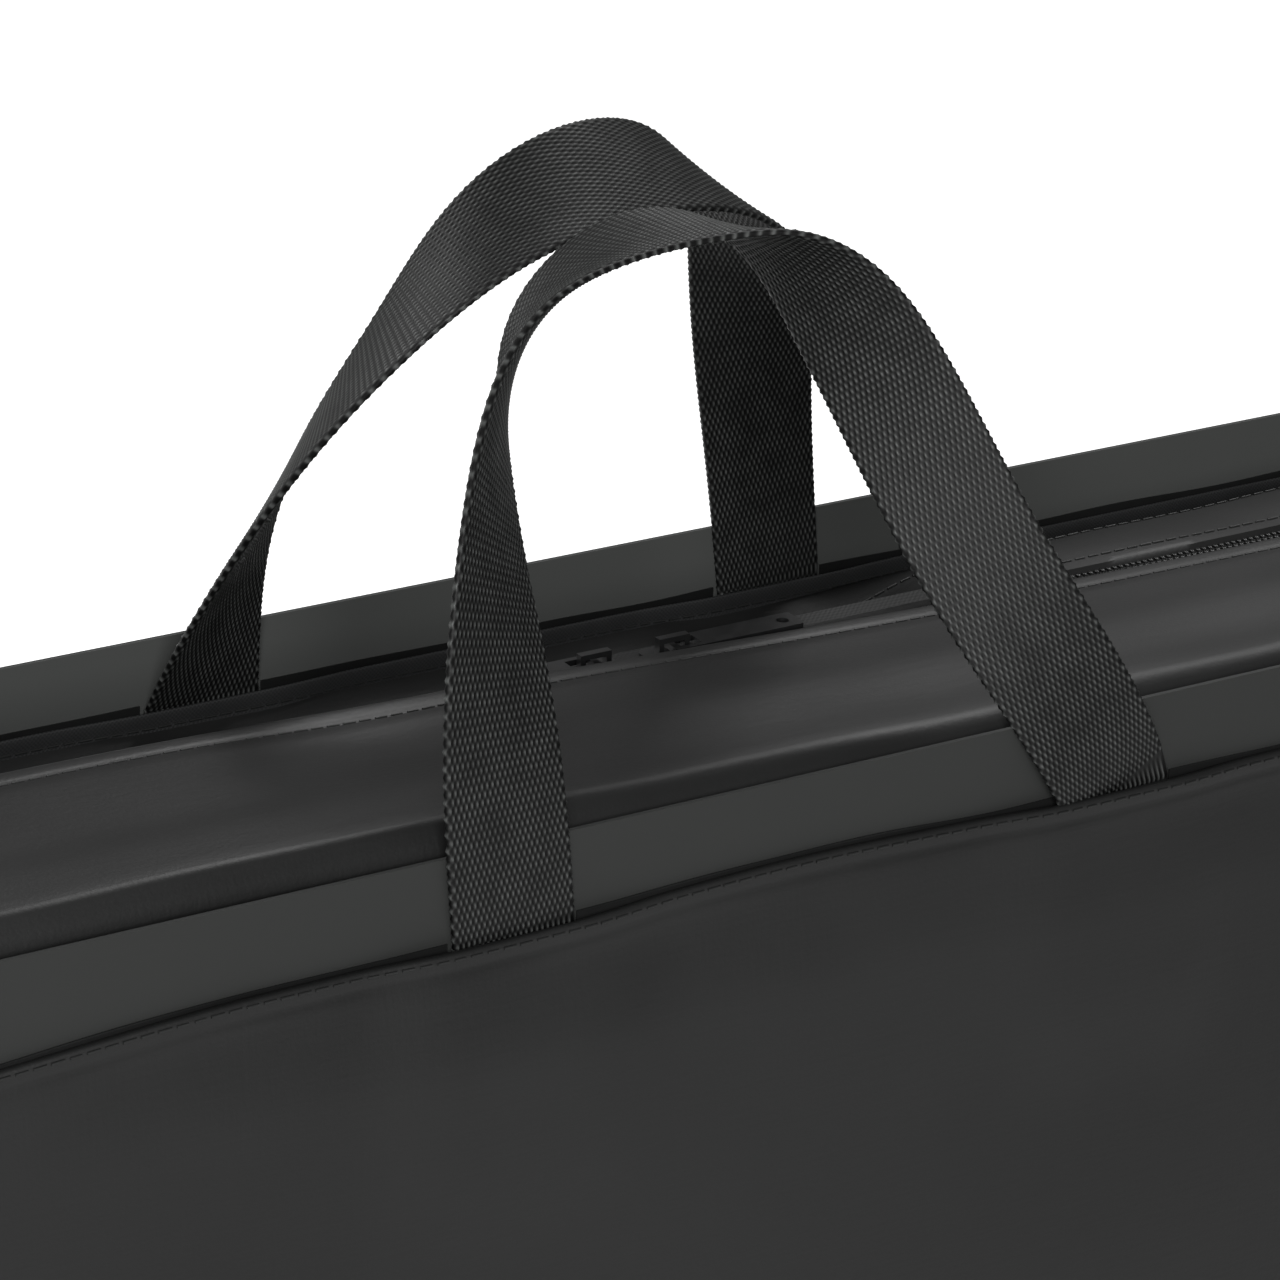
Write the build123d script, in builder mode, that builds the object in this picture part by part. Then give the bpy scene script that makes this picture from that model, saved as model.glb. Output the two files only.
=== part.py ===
"""Soft-sided portfolio case: two stiff walls on a flat base, a gusset band between them that
a two-slider zip closes, and one webbing carrying handle on each wall.

The origin is on the floor under the middle of the case. X runs along the case, -Y is the
front, +Z is up. Each wall hinges outwards on the fold where its cover meets the base.
"""

import math
import os

from build123d import *

# ---- Overall size ----
CASE_LENGTH = 660.0  # over the side piping
CASE_DEPTH = 127.0  # outside of one cover to outside of the other
CASE_HEIGHT = 508.0  # floor to the top edge of the front board
CORNER_RADIUS = 28.0  # top corners of the gusset and the boards

# ---- Sheet materials ----
COVER_THICKNESS = 0.8
BOARD_THICKNESS = 1.0
LINING_THICKNESS = 0.6
BASE_LINING_THICKNESS = 0.4
GUSSET_THICKNESS = 1.2
PIPING_DIAMETER = 3.5
LOWER_CORNER_RADIUS = 10.0  # lower corners of the walls, along the middle of the piping

# ---- Edges at the top of the walls ----
FRONT_BOARD_LIP = 17.5  # front board above the hem of its cover
BACK_BOARD_LIP = 14.5  # back board above the same level
FLAP_RISE = 4.5  # zip flap above the front board
FLAP_ROLL = 8.0  # radius of the roll where the flap leaves the front board
FLAP_EDGE_Y = 2.0  # free edge of the zip flap
FLAP_HEM = 8.0  # width folded under at that edge
SAG_DEPTH = 16.0  # dip of the back gusset below the straight line between its seams
BACK_SEAM_DROP = 4.0  # back gusset's seam below the hem

# ---- Webbing handles ----
WEBBING_WIDTH = 25.4
WEBBING_THICKNESS = 1.4
HANDLE_SPACING = 134.6  # centre to centre of a handle's two ends
HANDLE_TAIL = 60.0  # webbing sewn in below the hem
HANDLE_SECTIONS = 36  # spans along each handle
HANDLE_FOOT = 9.0  # flat stub at each end of the moving webbing
BACK_HANDLE_LEAN = 4.0  # back webbing leans in by this much over the board's lip

# ---- Zip ----
ZIP_CENTRE_Y = 7.0
ZIP_DROP = 10.5  # zip below the outside of the gusset
ZIP_GAP = 1.2  # between the two coils
COIL_WIDTH = 1.6
COIL_HEIGHT = 2.0
TAPE_THICKNESS = 0.6
BACK_TAPE_WIDTH = 4.0
ZIP_END_HEIGHT = 42.0  # lower ends of the zip above the floor
STOP_LENGTH = 6.0
STOP_HEIGHT = 2.6
SLIDER_LENGTH = 12.0
SLIDER_WIDTH = 8.6
SLIDER_PLATE = 1.2
SLIDER_WEB = 0.6
SLIDER_HEADROOM = 1.1  # above and below the coils, so that a coil can leave sideways
SLIDER_REST_X = 9.0
BRIDGE_WIDTH = 1.8
BRIDGE_HEIGHT = 3.6
BRIDGE_LENGTH = 7.0
BRIDGE_BAR = 1.1
PULL_LENGTH = 30.0
PULL_WIDTH = 6.4
PULL_THICKNESS = 1.2
PULL_EYE_LENGTH = 5.0
PULL_EYE_SIDE = 1.0  # clearance between the bridge and the eye, each side
PULL_HOLE_RADIUS = 1.3
PULL_END_BAR = 1.4

# ---- Clearances ----
JOINT_GAP = 0.3  # between pieces that move against each other
FOLD_OFFSET = 0.8  # hinge fold outside the cover's face
BASE_INSET = 4.0  # base board inside the edge of the base cover

# ---- Places that follow from the sizes ----
HALF_DEPTH = CASE_DEPTH / 2
HALF_PANEL = CASE_LENGTH / 2 - PIPING_DIAMETER
COVER_IN = HALF_DEPTH - COVER_THICKNESS
TAIL_IN = COVER_IN - WEBBING_THICKNESS
FRONT_BOARD_IN = TAIL_IN - BOARD_THICKNESS
FRONT_LINING_IN = FRONT_BOARD_IN - LINING_THICKNESS
BACK_BOARD_IN = COVER_IN - BOARD_THICKNESS
BACK_TAIL_IN = BACK_BOARD_IN - WEBBING_THICKNESS
BACK_LINING_IN = BACK_TAIL_IN - LINING_THICKNESS

LOWER_PANEL_RADIUS = LOWER_CORNER_RADIUS - PIPING_DIAMETER / 2

BASE_TOP = COVER_THICKNESS + BOARD_THICKNESS + BASE_LINING_THICKNESS
WALL_BOTTOM = BASE_TOP + JOINT_GAP
PANEL_BOTTOM = WALL_BOTTOM + PIPING_DIAMETER
HEM = CASE_HEIGHT - FRONT_BOARD_LIP
BACK_BOARD_TOP = HEM + BACK_BOARD_LIP
FLAP_TOP = CASE_HEIGHT + FLAP_RISE
ZIP_LEVEL = FLAP_TOP - ZIP_DROP
FRONT_COIL_EDGE = ZIP_CENTRE_Y - ZIP_GAP / 2
BACK_COIL_EDGE = ZIP_CENTRE_Y + ZIP_GAP / 2
FRONT_TAPE_EDGE = FRONT_COIL_EDGE - COIL_WIDTH
BACK_TAPE_EDGE = BACK_COIL_EDGE + COIL_WIDTH
BACK_GUSSET_EDGE = BACK_TAPE_EDGE + BACK_TAPE_WIDTH
FOLD_Y = HALF_DEPTH + FOLD_OFFSET

# ---- Handle shapes ----
# Control points of a clamped cubic curve along the middle of the webbing, in mm from the
# middle of the handle, the depth of its own wall and the hem, and the turn of the webbing
# about that curve in degrees: 0 lies flat on the wall, 90 lies across the arch. They are
# drawn for feet HANDLE_DRAWN_SPACING apart on walls HANDLE_DRAWN_DEPTH apart, and a handle
# on another spacing is stretched to suit; on a deeper or thinner case it leans in so much more
# or less that its crown keeps its distance from the middle.
HANDLE_DRAWN_SPACING = 134.6
HANDLE_DRAWN_DEPTH = 127.0
FRONT_HANDLE_SHAPE = [
    (-67.3, 0.0, 0.0, 0),
    (-68.3, -0.6, 10.0, 0),
    (-70.7, -0.6, 33.5, 0),
    (-66.1, 12.2, 67.9, 30),
    (-52.3, 34.3, 92.1, 38),
    (-31.7, 49.6, 105.7, 75),
    (2.3, 52.3, 112.6, 98),
    (28.3, 40.6, 96.7, 44),
    (36.3, 8.0, 48.7, 25),
    (57.0, -6.5, 17.6, -2),
    (67.3, 0.0, 0.0, 0),
]
BACK_HANDLE_SHAPE = [
    (-67.3, 0.0, 0.0, 0),
    (-68.4, -10.0, 23.9, 31),
    (-66.0, -27.9, 54.8, 54),
    (-49.9, -43.9, 86.8, 73),
    (-30.4, -47.2, 106.7, 105),
    (-5.9, -45.3, 114.4, 130),
    (21.9, -37.4, 109.6, 112),
    (45.7, -21.7, 89.8, 70),
    (58.7, -3.4, 52.8, 6),
    (65.4, 0.0, 18.5, 2),
    (67.3, 0.0, 0.0, 0),
]

os.makedirs("parts", exist_ok=True)


def save(builder, node_name):
    """Label a finished piece and write it to its own STEP file."""
    builder.part.label = node_name
    export_step(builder.part, f"parts/{node_name}.step")


def upright_plane(y):
    """Plane across the case at depth y, with local axes +X and +Z, facing the front."""
    return Plane(origin=(0, y, 0), x_dir=(1, 0, 0), z_dir=(0, -1, 0))


# ---------------------------------------------------------------- stiff and soft panels
def standing_panel(node_name, y_low, thickness, top, corner):
    """A sheet standing across the case; a corner radius rounds its two upper corners."""
    with BuildPart() as panel:
        with BuildSketch(upright_plane(y_low + thickness)) as outline:
            with Locations((0, (PANEL_BOTTOM + top) / 2)):
                Rectangle(2 * HALF_PANEL, top - PANEL_BOTTOM)
            fillet(outline.vertices().group_by(Axis.Y)[0], radius=LOWER_PANEL_RADIUS)
            if corner > 0:
                fillet(outline.vertices().group_by(Axis.Y)[-1], radius=corner)
        extrude(amount=thickness)
    save(panel, node_name)


standing_panel("front_cover", -HALF_DEPTH, COVER_THICKNESS, HEM, 0)
standing_panel("front_board", -TAIL_IN, BOARD_THICKNESS, CASE_HEIGHT, CORNER_RADIUS)
standing_panel("front_lining", -FRONT_BOARD_IN, LINING_THICKNESS, HEM, 0)
standing_panel("back_cover", COVER_IN, COVER_THICKNESS, HEM, 0)
standing_panel("back_board", BACK_BOARD_IN, BOARD_THICKNESS, BACK_BOARD_TOP, CORNER_RADIUS)
standing_panel("back_lining", BACK_LINING_IN, LINING_THICKNESS, HEM, 0)


def base_sheet(node_name, bottom, thickness, inset):
    """A sheet lying on the floor between the two hinge folds, set in from their line."""
    with BuildPart() as sheet:
        with BuildSketch(Plane.XY.offset(bottom)):
            Rectangle(2 * (HALF_PANEL - inset), 2 * (FOLD_Y - inset))
        extrude(amount=thickness)
    save(sheet, node_name)


base_sheet("base_cover", 0, COVER_THICKNESS, 0)
base_sheet("base_board", COVER_THICKNESS, BOARD_THICKNESS, BASE_INSET)
base_sheet("base_lining", COVER_THICKNESS + BOARD_THICKNESS, BASE_LINING_THICKNESS, BASE_INSET)


# ---------------------------------------------------------------- piping round the wall edges
def edge_piping(node_name, y_face):
    """Piping cord down one side edge of a wall, along its bottom and up the other side."""
    radius = PIPING_DIAMETER / 2
    side_x = HALF_PANEL + radius
    bottom_z = WALL_BOTTOM + radius
    top_z = HEM - CORNER_RADIUS
    corners = [(-side_x, top_z), (-side_x, bottom_z), (side_x, bottom_z), (side_x, top_z)]
    centre_y = math.copysign(HALF_DEPTH - radius, y_face)
    with BuildPart() as piping:
        with BuildLine(upright_plane(centre_y)):
            FilletPolyline(*corners, radius=LOWER_CORNER_RADIUS)
        with BuildSketch(Plane(origin=(-side_x, centre_y, top_z), z_dir=(0, 0, -1))):
            Circle(radius)
        sweep()
    save(piping, node_name)


edge_piping("front_piping", -HALF_DEPTH)
edge_piping("back_piping", HALF_DEPTH)


# ---------------------------------------------------------------- gusset
def corner_profile(side, outset, top):
    """Upright edge and quarter-round corner of the gusset band, seen from the front.

    outset is the band's mid-surface outside the line of the zip.
    """
    outer_radius = CORNER_RADIUS - ZIP_DROP + outset + GUSSET_THICKNESS / 2
    inner_radius = outer_radius - GUSSET_THICKNESS
    centre_x = side * (HALF_PANEL - CORNER_RADIUS)
    centre_z = top - outer_radius
    diagonal = math.sqrt(0.5)

    def rim(radius, across, up):
        return (centre_x + side * radius * across, centre_z + radius * up)

    Line((centre_x + side * outer_radius, PANEL_BOTTOM), rim(outer_radius, 1, 0))
    ThreePointArc(
        rim(outer_radius, 1, 0), rim(outer_radius, diagonal, diagonal), rim(outer_radius, 0, 1)
    )
    Line(rim(outer_radius, 0, 1), rim(inner_radius, 0, 1))
    ThreePointArc(
        rim(inner_radius, 0, 1), rim(inner_radius, diagonal, diagonal), rim(inner_radius, 1, 0)
    )
    Line(rim(inner_radius, 1, 0), (centre_x + side * inner_radius, PANEL_BOTTOM))
    Line(
        (centre_x + side * inner_radius, PANEL_BOTTOM),
        (centre_x + side * outer_radius, PANEL_BOTTOM),
    )


OUTER_OUTSET = ZIP_DROP - GUSSET_THICKNESS / 2  # mid-surface of the gusset at the walls

for side_name, side in (("left", -1), ("right", 1)):
    with BuildPart() as front_side:
        with BuildSketch(upright_plane(FLAP_EDGE_Y)):
            with BuildLine():
                corner_profile(side, OUTER_OUTSET, FLAP_TOP)
            make_face()
        extrude(amount=FLAP_EDGE_Y + FRONT_LINING_IN)
    save(front_side, f"front_{side_name}_gusset")

    with BuildPart() as back_side:
        with BuildSketch(upright_plane(BACK_GUSSET_EDGE)):
            with BuildLine():
                corner_profile(side, 0, ZIP_LEVEL + GUSSET_THICKNESS / 2)
            make_face()
        with BuildSketch(upright_plane(BACK_LINING_IN)):
            with BuildLine():
                corner_profile(side, OUTER_OUTSET, HEM - BACK_SEAM_DROP)
            make_face()
        loft(ruled=True)
    save(back_side, f"back_{side_name}_gusset")

TOP_PANEL_START = -(HALF_PANEL - CORNER_RADIUS)
TOP_PANEL_LENGTH = 2 * (HALF_PANEL - CORNER_RADIUS)

with BuildPart() as front_top_gusset:
    with BuildSketch(Plane.YZ.offset(TOP_PANEL_START)):
        with BuildLine():
            roll_y = -FRONT_BOARD_IN + FLAP_ROLL
            roll_z = FLAP_TOP - FLAP_ROLL
            inner_roll = FLAP_ROLL - GUSSET_THICKNESS
            diagonal = math.sqrt(0.5)
            ThreePointArc(
                (roll_y - FLAP_ROLL, roll_z),
                (roll_y - FLAP_ROLL * diagonal, roll_z + FLAP_ROLL * diagonal),
                (roll_y, FLAP_TOP),
            )
            Polyline(
                (roll_y, FLAP_TOP),
                (FLAP_EDGE_Y, FLAP_TOP),
                (FLAP_EDGE_Y, FLAP_TOP - 2 * GUSSET_THICKNESS),
                (FLAP_EDGE_Y - FLAP_HEM, FLAP_TOP - 2 * GUSSET_THICKNESS),
                (FLAP_EDGE_Y - FLAP_HEM, FLAP_TOP - GUSSET_THICKNESS),
                (roll_y, FLAP_TOP - GUSSET_THICKNESS),
            )
            ThreePointArc(
                (roll_y, roll_z + inner_roll),
                (roll_y - inner_roll * diagonal, roll_z + inner_roll * diagonal),
                (roll_y - inner_roll, roll_z),
            )
            Line((roll_y - inner_roll, roll_z), (roll_y - FLAP_ROLL, roll_z))
        make_face()
    extrude(amount=TOP_PANEL_LENGTH)
save(front_top_gusset, "front_top_gusset")

with BuildPart() as back_top_gusset:
    with BuildSketch(Plane.YZ.offset(TOP_PANEL_START)):
        with BuildLine():
            zip_seam = ZIP_LEVEL + GUSSET_THICKNESS / 2
            wall_seam = HEM - BACK_SEAM_DROP
            middle_y = (BACK_GUSSET_EDGE + BACK_LINING_IN) / 2
            pull_z = (zip_seam + wall_seam) / 2 - 2 * SAG_DEPTH
            Bezier((BACK_GUSSET_EDGE, zip_seam), (middle_y, pull_z), (BACK_LINING_IN, wall_seam))
            Bezier(
                (BACK_GUSSET_EDGE, zip_seam - GUSSET_THICKNESS),
                (middle_y, pull_z - GUSSET_THICKNESS),
                (BACK_LINING_IN, wall_seam - GUSSET_THICKNESS),
            )
            Line((BACK_GUSSET_EDGE, zip_seam), (BACK_GUSSET_EDGE, zip_seam - GUSSET_THICKNESS))
            Line((BACK_LINING_IN, wall_seam), (BACK_LINING_IN, wall_seam - GUSSET_THICKNESS))
        make_face()
    extrude(amount=TOP_PANEL_LENGTH)
save(back_top_gusset, "back_top_gusset")


# ---------------------------------------------------------------- zip
def zip_run(node_name, bottom, rectangles):
    """Sweep rectangles up one side, over the top and down the other side of the case.

    Each rectangle is (front edge, back edge, lower side, upper side), the last two being
    distances outside the line of the zip.
    """
    line_x = HALF_PANEL - ZIP_DROP
    corners = [(-line_x, bottom), (-line_x, ZIP_LEVEL), (line_x, ZIP_LEVEL), (line_x, bottom)]
    with BuildPart() as run:
        with BuildLine(upright_plane(0)):
            FilletPolyline(*corners, radius=CORNER_RADIUS - ZIP_DROP)
        with BuildSketch(Plane(origin=(-line_x, 0, bottom), x_dir=(0, 1, 0), z_dir=(0, 0, 1))):
            for front, back, low, high in rectangles:
                with Locations(((front + back) / 2, (low + high) / 2)):
                    Rectangle(back - front, high - low)
        sweep()
    save(run, node_name)


HALF_TAPE = TAPE_THICKNESS / 2
RISER_Y = FLAP_EDGE_Y - FLAP_HEM - TAPE_THICKNESS
TAPE_END_HEIGHT = ZIP_END_HEIGHT - STOP_LENGTH
FRONT_TAPE = [
    (RISER_Y, FRONT_TAPE_EDGE, -HALF_TAPE, HALF_TAPE),
    (RISER_Y, RISER_Y + TAPE_THICKNESS, -HALF_TAPE, ZIP_DROP - GUSSET_THICKNESS),
]
BACK_TAPE = [(BACK_TAPE_EDGE, BACK_GUSSET_EDGE, -HALF_TAPE, HALF_TAPE)]
FRONT_COIL = [(FRONT_TAPE_EDGE, FRONT_COIL_EDGE, -COIL_HEIGHT / 2, COIL_HEIGHT / 2)]
BACK_COIL = [(BACK_COIL_EDGE, BACK_TAPE_EDGE, -COIL_HEIGHT / 2, COIL_HEIGHT / 2)]

zip_run("front_zip_tape", TAPE_END_HEIGHT, FRONT_TAPE)
zip_run("back_zip_tape", TAPE_END_HEIGHT, BACK_TAPE)
zip_run("front_zip_coil", ZIP_END_HEIGHT, FRONT_COIL)
zip_run("back_zip_coil", ZIP_END_HEIGHT, BACK_COIL)


def zip_stops(node_name, centre_y):
    """The two clips that close the lower ends of one coil."""
    line_x = HALF_PANEL - ZIP_DROP
    with BuildPart() as stops:
        with BuildSketch(Plane.XY.offset(TAPE_END_HEIGHT)):
            with Locations((-line_x, centre_y), (line_x, centre_y)):
                Rectangle(STOP_HEIGHT, COIL_WIDTH)
        extrude(amount=STOP_LENGTH)
    save(stops, node_name)


zip_stops("front_zip_stops", (FRONT_TAPE_EDGE + FRONT_COIL_EDGE) / 2)
zip_stops("back_zip_stops", (BACK_TAPE_EDGE + BACK_COIL_EDGE) / 2)

# The slider's plates run above and below the coils; its web stands in the gap between them.
PLATE_OFFSET = COIL_HEIGHT / 2 + SLIDER_HEADROOM
PLATE_TOP = ZIP_LEVEL + PLATE_OFFSET + SLIDER_PLATE
PIVOT_LEVEL = PLATE_TOP + (BRIDGE_HEIGHT - BRIDGE_BAR) / 2
EYE_WIDTH = BRIDGE_WIDTH + 2 * PULL_EYE_SIDE

for side_name, side in (("left", -1), ("right", 1)):
    rest_x = side * SLIDER_REST_X
    with BuildPart() as slider:
        with BuildSketch(Plane.XY.offset(ZIP_LEVEL - PLATE_OFFSET - SLIDER_PLATE)) as plates:
            with Locations((rest_x, ZIP_CENTRE_Y)):
                Rectangle(SLIDER_LENGTH, SLIDER_WIDTH)
            fillet(plates.vertices(), radius=SLIDER_WIDTH / 4)
        extrude(amount=SLIDER_PLATE)
        with BuildSketch(Plane.XY.offset(ZIP_LEVEL + PLATE_OFFSET)) as plates:
            with Locations((rest_x, ZIP_CENTRE_Y)):
                Rectangle(SLIDER_LENGTH, SLIDER_WIDTH)
            fillet(plates.vertices(), radius=SLIDER_WIDTH / 4)
        extrude(amount=SLIDER_PLATE)
        with BuildSketch(Plane.XY.offset(ZIP_LEVEL - PLATE_OFFSET)):
            with Locations((rest_x, ZIP_CENTRE_Y)):
                Rectangle(SLIDER_LENGTH / 2, SLIDER_WEB)
        extrude(amount=2 * PLATE_OFFSET)
        with BuildSketch(upright_plane(ZIP_CENTRE_Y + BRIDGE_WIDTH / 2)):
            with Locations((rest_x, PLATE_TOP + BRIDGE_HEIGHT / 2)):
                Rectangle(BRIDGE_LENGTH, BRIDGE_HEIGHT)
            with Locations((rest_x, PLATE_TOP + (BRIDGE_HEIGHT - BRIDGE_BAR) / 2)):
                Rectangle(
                    BRIDGE_LENGTH - 2 * BRIDGE_BAR, BRIDGE_HEIGHT - BRIDGE_BAR, mode=Mode.SUBTRACT
                )
        extrude(amount=BRIDGE_WIDTH)
    save(slider, f"{side_name}_slider")

    # The tab lies flat, away from the other slider. Its end bar turns inside the bridge.
    with BuildPart() as pull:
        with BuildSketch(Plane.XY.offset(PIVOT_LEVEL - PULL_THICKNESS / 2)) as tab:
            with Locations((rest_x + side * (PULL_LENGTH / 2 - PULL_END_BAR / 2), ZIP_CENTRE_Y)):
                Rectangle(PULL_LENGTH, PULL_WIDTH)
            fillet(tab.vertices(), radius=PULL_WIDTH / 8)
            eye_x = rest_x + side * (PULL_END_BAR + PULL_EYE_LENGTH) / 2
            with Locations((eye_x, ZIP_CENTRE_Y)):
                Rectangle(PULL_EYE_LENGTH, EYE_WIDTH, mode=Mode.SUBTRACT)
            hole_x = rest_x + side * (PULL_LENGTH - PULL_END_BAR - 2 * PULL_HOLE_RADIUS)
            with Locations((hole_x, ZIP_CENTRE_Y)):
                Circle(PULL_HOLE_RADIUS, mode=Mode.SUBTRACT)
        extrude(amount=PULL_THICKNESS)
    save(pull, f"{side_name}_pull")


# ---------------------------------------------------------------- webbing handles
def clamped_cubic(values, along):
    """Point of the clamped uniform cubic B-spline through a list of control tuples."""
    spans = len(values) - 3
    knots = [0.0] * 3 + [step / spans for step in range(spans + 1)] + [1.0] * 3
    span = min(int(along * spans), spans - 1) + 3
    points = [list(values[span - 3 + step]) for step in range(4)]
    for level in range(1, 4):
        for step in range(3, level - 1, -1):
            low = knots[step + span - 3]
            high = knots[step + 1 + span - level]
            share = (along - low) / (high - low)
            pairs = zip(points[step - 1], points[step])
            points[step] = [(1 - share) * a + share * b for a, b in pairs]
    return points[3]


def handle_plane(shape, along, foot):
    """Section plane of a handle: its x axis runs across the webbing, outer edge positive."""
    spread = HANDLE_SPACING / HANDLE_DRAWN_SPACING
    crown = max(abs(depth) for _, depth, _, _ in shape)
    reach = 1 - (HANDLE_DRAWN_DEPTH - CASE_DEPTH) / 2 / crown
    step = 0.002
    x, y, z, turn = clamped_cubic(shape, along)
    before = clamped_cubic(shape, max(along - step, 0))
    after = clamped_cubic(shape, min(along + step, 1))
    direction = Vector(*(b - a for a, b in zip(before[:3], after[:3]))).normalized()
    depth = Vector(0, 1, 0)
    across_arch = (depth - direction * depth.dot(direction)).normalized()
    outwards = direction.cross(across_arch)
    angle = math.radians(turn)
    edge = outwards * math.cos(angle) - across_arch * math.sin(angle)
    origin = Vector(x * spread, y * reach, z) + foot
    return Plane(origin=origin, x_dir=edge, z_dir=direction)


def handle(node_name, shape, depth_y, foot_y, lowest):
    """One webbing loop that starts and ends flat, at depth foot_y and height lowest."""
    foot = Vector(0, depth_y, HEM)
    left_foot = Plane(
        origin=(-HANDLE_SPACING / 2, foot_y, lowest), x_dir=(-1, 0, 0), z_dir=(0, 0, 1)
    )
    right_foot = Plane(
        origin=(HANDLE_SPACING / 2, foot_y, lowest), x_dir=(1, 0, 0), z_dir=(0, 0, -1)
    )
    steps = [step / HANDLE_SECTIONS for step in range(1, HANDLE_SECTIONS)]
    planes = [handle_plane(shape, along, foot) for along in steps]
    planes = [plane for plane in planes if plane.origin.Z > lowest + HANDLE_FOOT]
    with BuildPart() as loop:
        for plane in [left_foot, *planes, right_foot]:
            with BuildSketch(plane):
                Rectangle(WEBBING_WIDTH, WEBBING_THICKNESS)
        loft(ruled=True)
    save(loop, node_name)


FRONT_WEB_Y = -(COVER_IN + TAIL_IN) / 2 - JOINT_GAP
BACK_WEB_Y = (BACK_BOARD_IN + BACK_TAIL_IN) / 2
FRONT_LOOP_BOTTOM = HEM + JOINT_GAP
BACK_LOOP_BOTTOM = BACK_BOARD_TOP + 2 * JOINT_GAP
BACK_FOOT_Y = BACK_WEB_Y - BACK_HANDLE_LEAN
handle("front_handle", FRONT_HANDLE_SHAPE, FRONT_WEB_Y, FRONT_WEB_Y, FRONT_LOOP_BOTTOM)
handle("back_handle", BACK_HANDLE_SHAPE, BACK_WEB_Y, BACK_FOOT_Y, BACK_LOOP_BOTTOM)

TAIL_BOTTOM = HEM - HANDLE_TAIL
FEET = [(-HANDLE_SPACING / 2, 0), (HANDLE_SPACING / 2, 0)]

with BuildPart() as front_handle_ends:
    with BuildSketch(Plane.XY.offset(TAIL_BOTTOM)):
        with Locations((0, -(COVER_IN + TAIL_IN) / 2)):
            with Locations(*FEET):
                Rectangle(WEBBING_WIDTH, WEBBING_THICKNESS)
    extrude(amount=HANDLE_TAIL)
save(front_handle_ends, "front_handle_ends")

# The back webbing stands against the board below the hem and leans in beside its lip.
with BuildPart() as back_handle_ends:
    lean_y = BACK_TAIL_IN - BACK_HANDLE_LEAN
    lean_z = BACK_LOOP_BOTTOM - JOINT_GAP
    for centre_x, _ in FEET:
        with BuildSketch(Plane.YZ.offset(centre_x - WEBBING_WIDTH / 2)):
            with BuildLine():
                Polyline(
                    (BACK_TAIL_IN, TAIL_BOTTOM),
                    (BACK_TAIL_IN, HEM),
                    (lean_y, lean_z),
                    (lean_y + WEBBING_THICKNESS, lean_z),
                    (BACK_BOARD_IN, HEM),
                    (BACK_BOARD_IN, TAIL_BOTTOM),
                    close=True,
                )
            make_face()
        extrude(amount=WEBBING_WIDTH)
save(back_handle_ends, "back_handle_ends")
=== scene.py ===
"""A soft-sided portfolio case with two webbing handles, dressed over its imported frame.

Vinyl covers, gussets and linings, webbing, piping, zip and thread are made here over the
stiff boards and the zip's metal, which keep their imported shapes. Every length is in metres,
in the frame's own axes: X along the case, -Y its front, +Z up.
"""

import math

import bpy
import numpy as np
from bpy.props import FloatProperty, FloatVectorProperty, IntProperty, PointerProperty
from mathutils import Matrix, Vector


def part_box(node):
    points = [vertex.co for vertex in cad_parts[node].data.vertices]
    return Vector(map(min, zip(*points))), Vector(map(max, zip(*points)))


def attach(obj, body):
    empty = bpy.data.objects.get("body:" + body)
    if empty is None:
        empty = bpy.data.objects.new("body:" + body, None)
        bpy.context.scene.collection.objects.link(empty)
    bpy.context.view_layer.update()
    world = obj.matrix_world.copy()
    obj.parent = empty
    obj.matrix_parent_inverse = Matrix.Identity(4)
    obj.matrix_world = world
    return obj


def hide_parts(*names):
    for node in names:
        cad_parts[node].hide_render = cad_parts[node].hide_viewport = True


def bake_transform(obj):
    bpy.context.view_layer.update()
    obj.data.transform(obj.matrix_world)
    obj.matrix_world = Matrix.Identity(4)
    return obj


bl_info = {
    "name": "Portfolio Case",
    "version": (1, 0, 0),
    "blender": (4, 5, 0),
    "location": "View3D > Sidebar > Portfolio",
    "description": "Soft goods, webbing handles, zip and finishes of a portfolio case",
    "category": "Add Mesh",
}

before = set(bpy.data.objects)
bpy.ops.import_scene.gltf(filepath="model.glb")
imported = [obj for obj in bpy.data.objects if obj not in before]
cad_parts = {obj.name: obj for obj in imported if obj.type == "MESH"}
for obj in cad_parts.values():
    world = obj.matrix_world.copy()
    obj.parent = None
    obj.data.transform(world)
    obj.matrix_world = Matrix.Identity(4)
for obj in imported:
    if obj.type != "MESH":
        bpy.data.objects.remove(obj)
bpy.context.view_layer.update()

MM = 0.001


def low(node):
    """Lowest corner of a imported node."""
    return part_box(node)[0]


def high(node):
    """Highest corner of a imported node."""
    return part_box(node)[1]


# ---------------------------------------------------------------- places read from the frame
HALF_PANEL = high("front_cover").x
PANEL_BOTTOM = low("front_cover").z
HEM = high("front_cover").z
BOARD_TOP = high("front_board").z
FLAP_TOP = high("front_top_gusset").z
FLAP_EDGE = high("front_top_gusset").y
CORNER_RADIUS = HALF_PANEL - high("front_top_gusset").x
BASE_EDGE = high("base_cover").y
BASE_BOARD_EDGE = high("base_board").y
BASE_TOP = high("base_board").z
BACK_SEAM = low("back_lining").y
BACK_BOARD_TOP = high("back_board").z
WALL_SEAM = HEM - 4 * MM
COIL_HALF_HEIGHT = 1.0 * MM
ZIP_LEVEL = high("front_zip_coil").z - COIL_HALF_HEIGHT
ZIP_INSET = FLAP_TOP - ZIP_LEVEL
ZIP_END = low("front_zip_coil").z
TAIL_LENGTH = HEM - low("front_handle_ends").z
TAIL_OUT = high("front_handle_ends").x
FRONT_WEB_Y = (low("front_handle_ends").y + high("front_handle_ends").y) / 2

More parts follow.
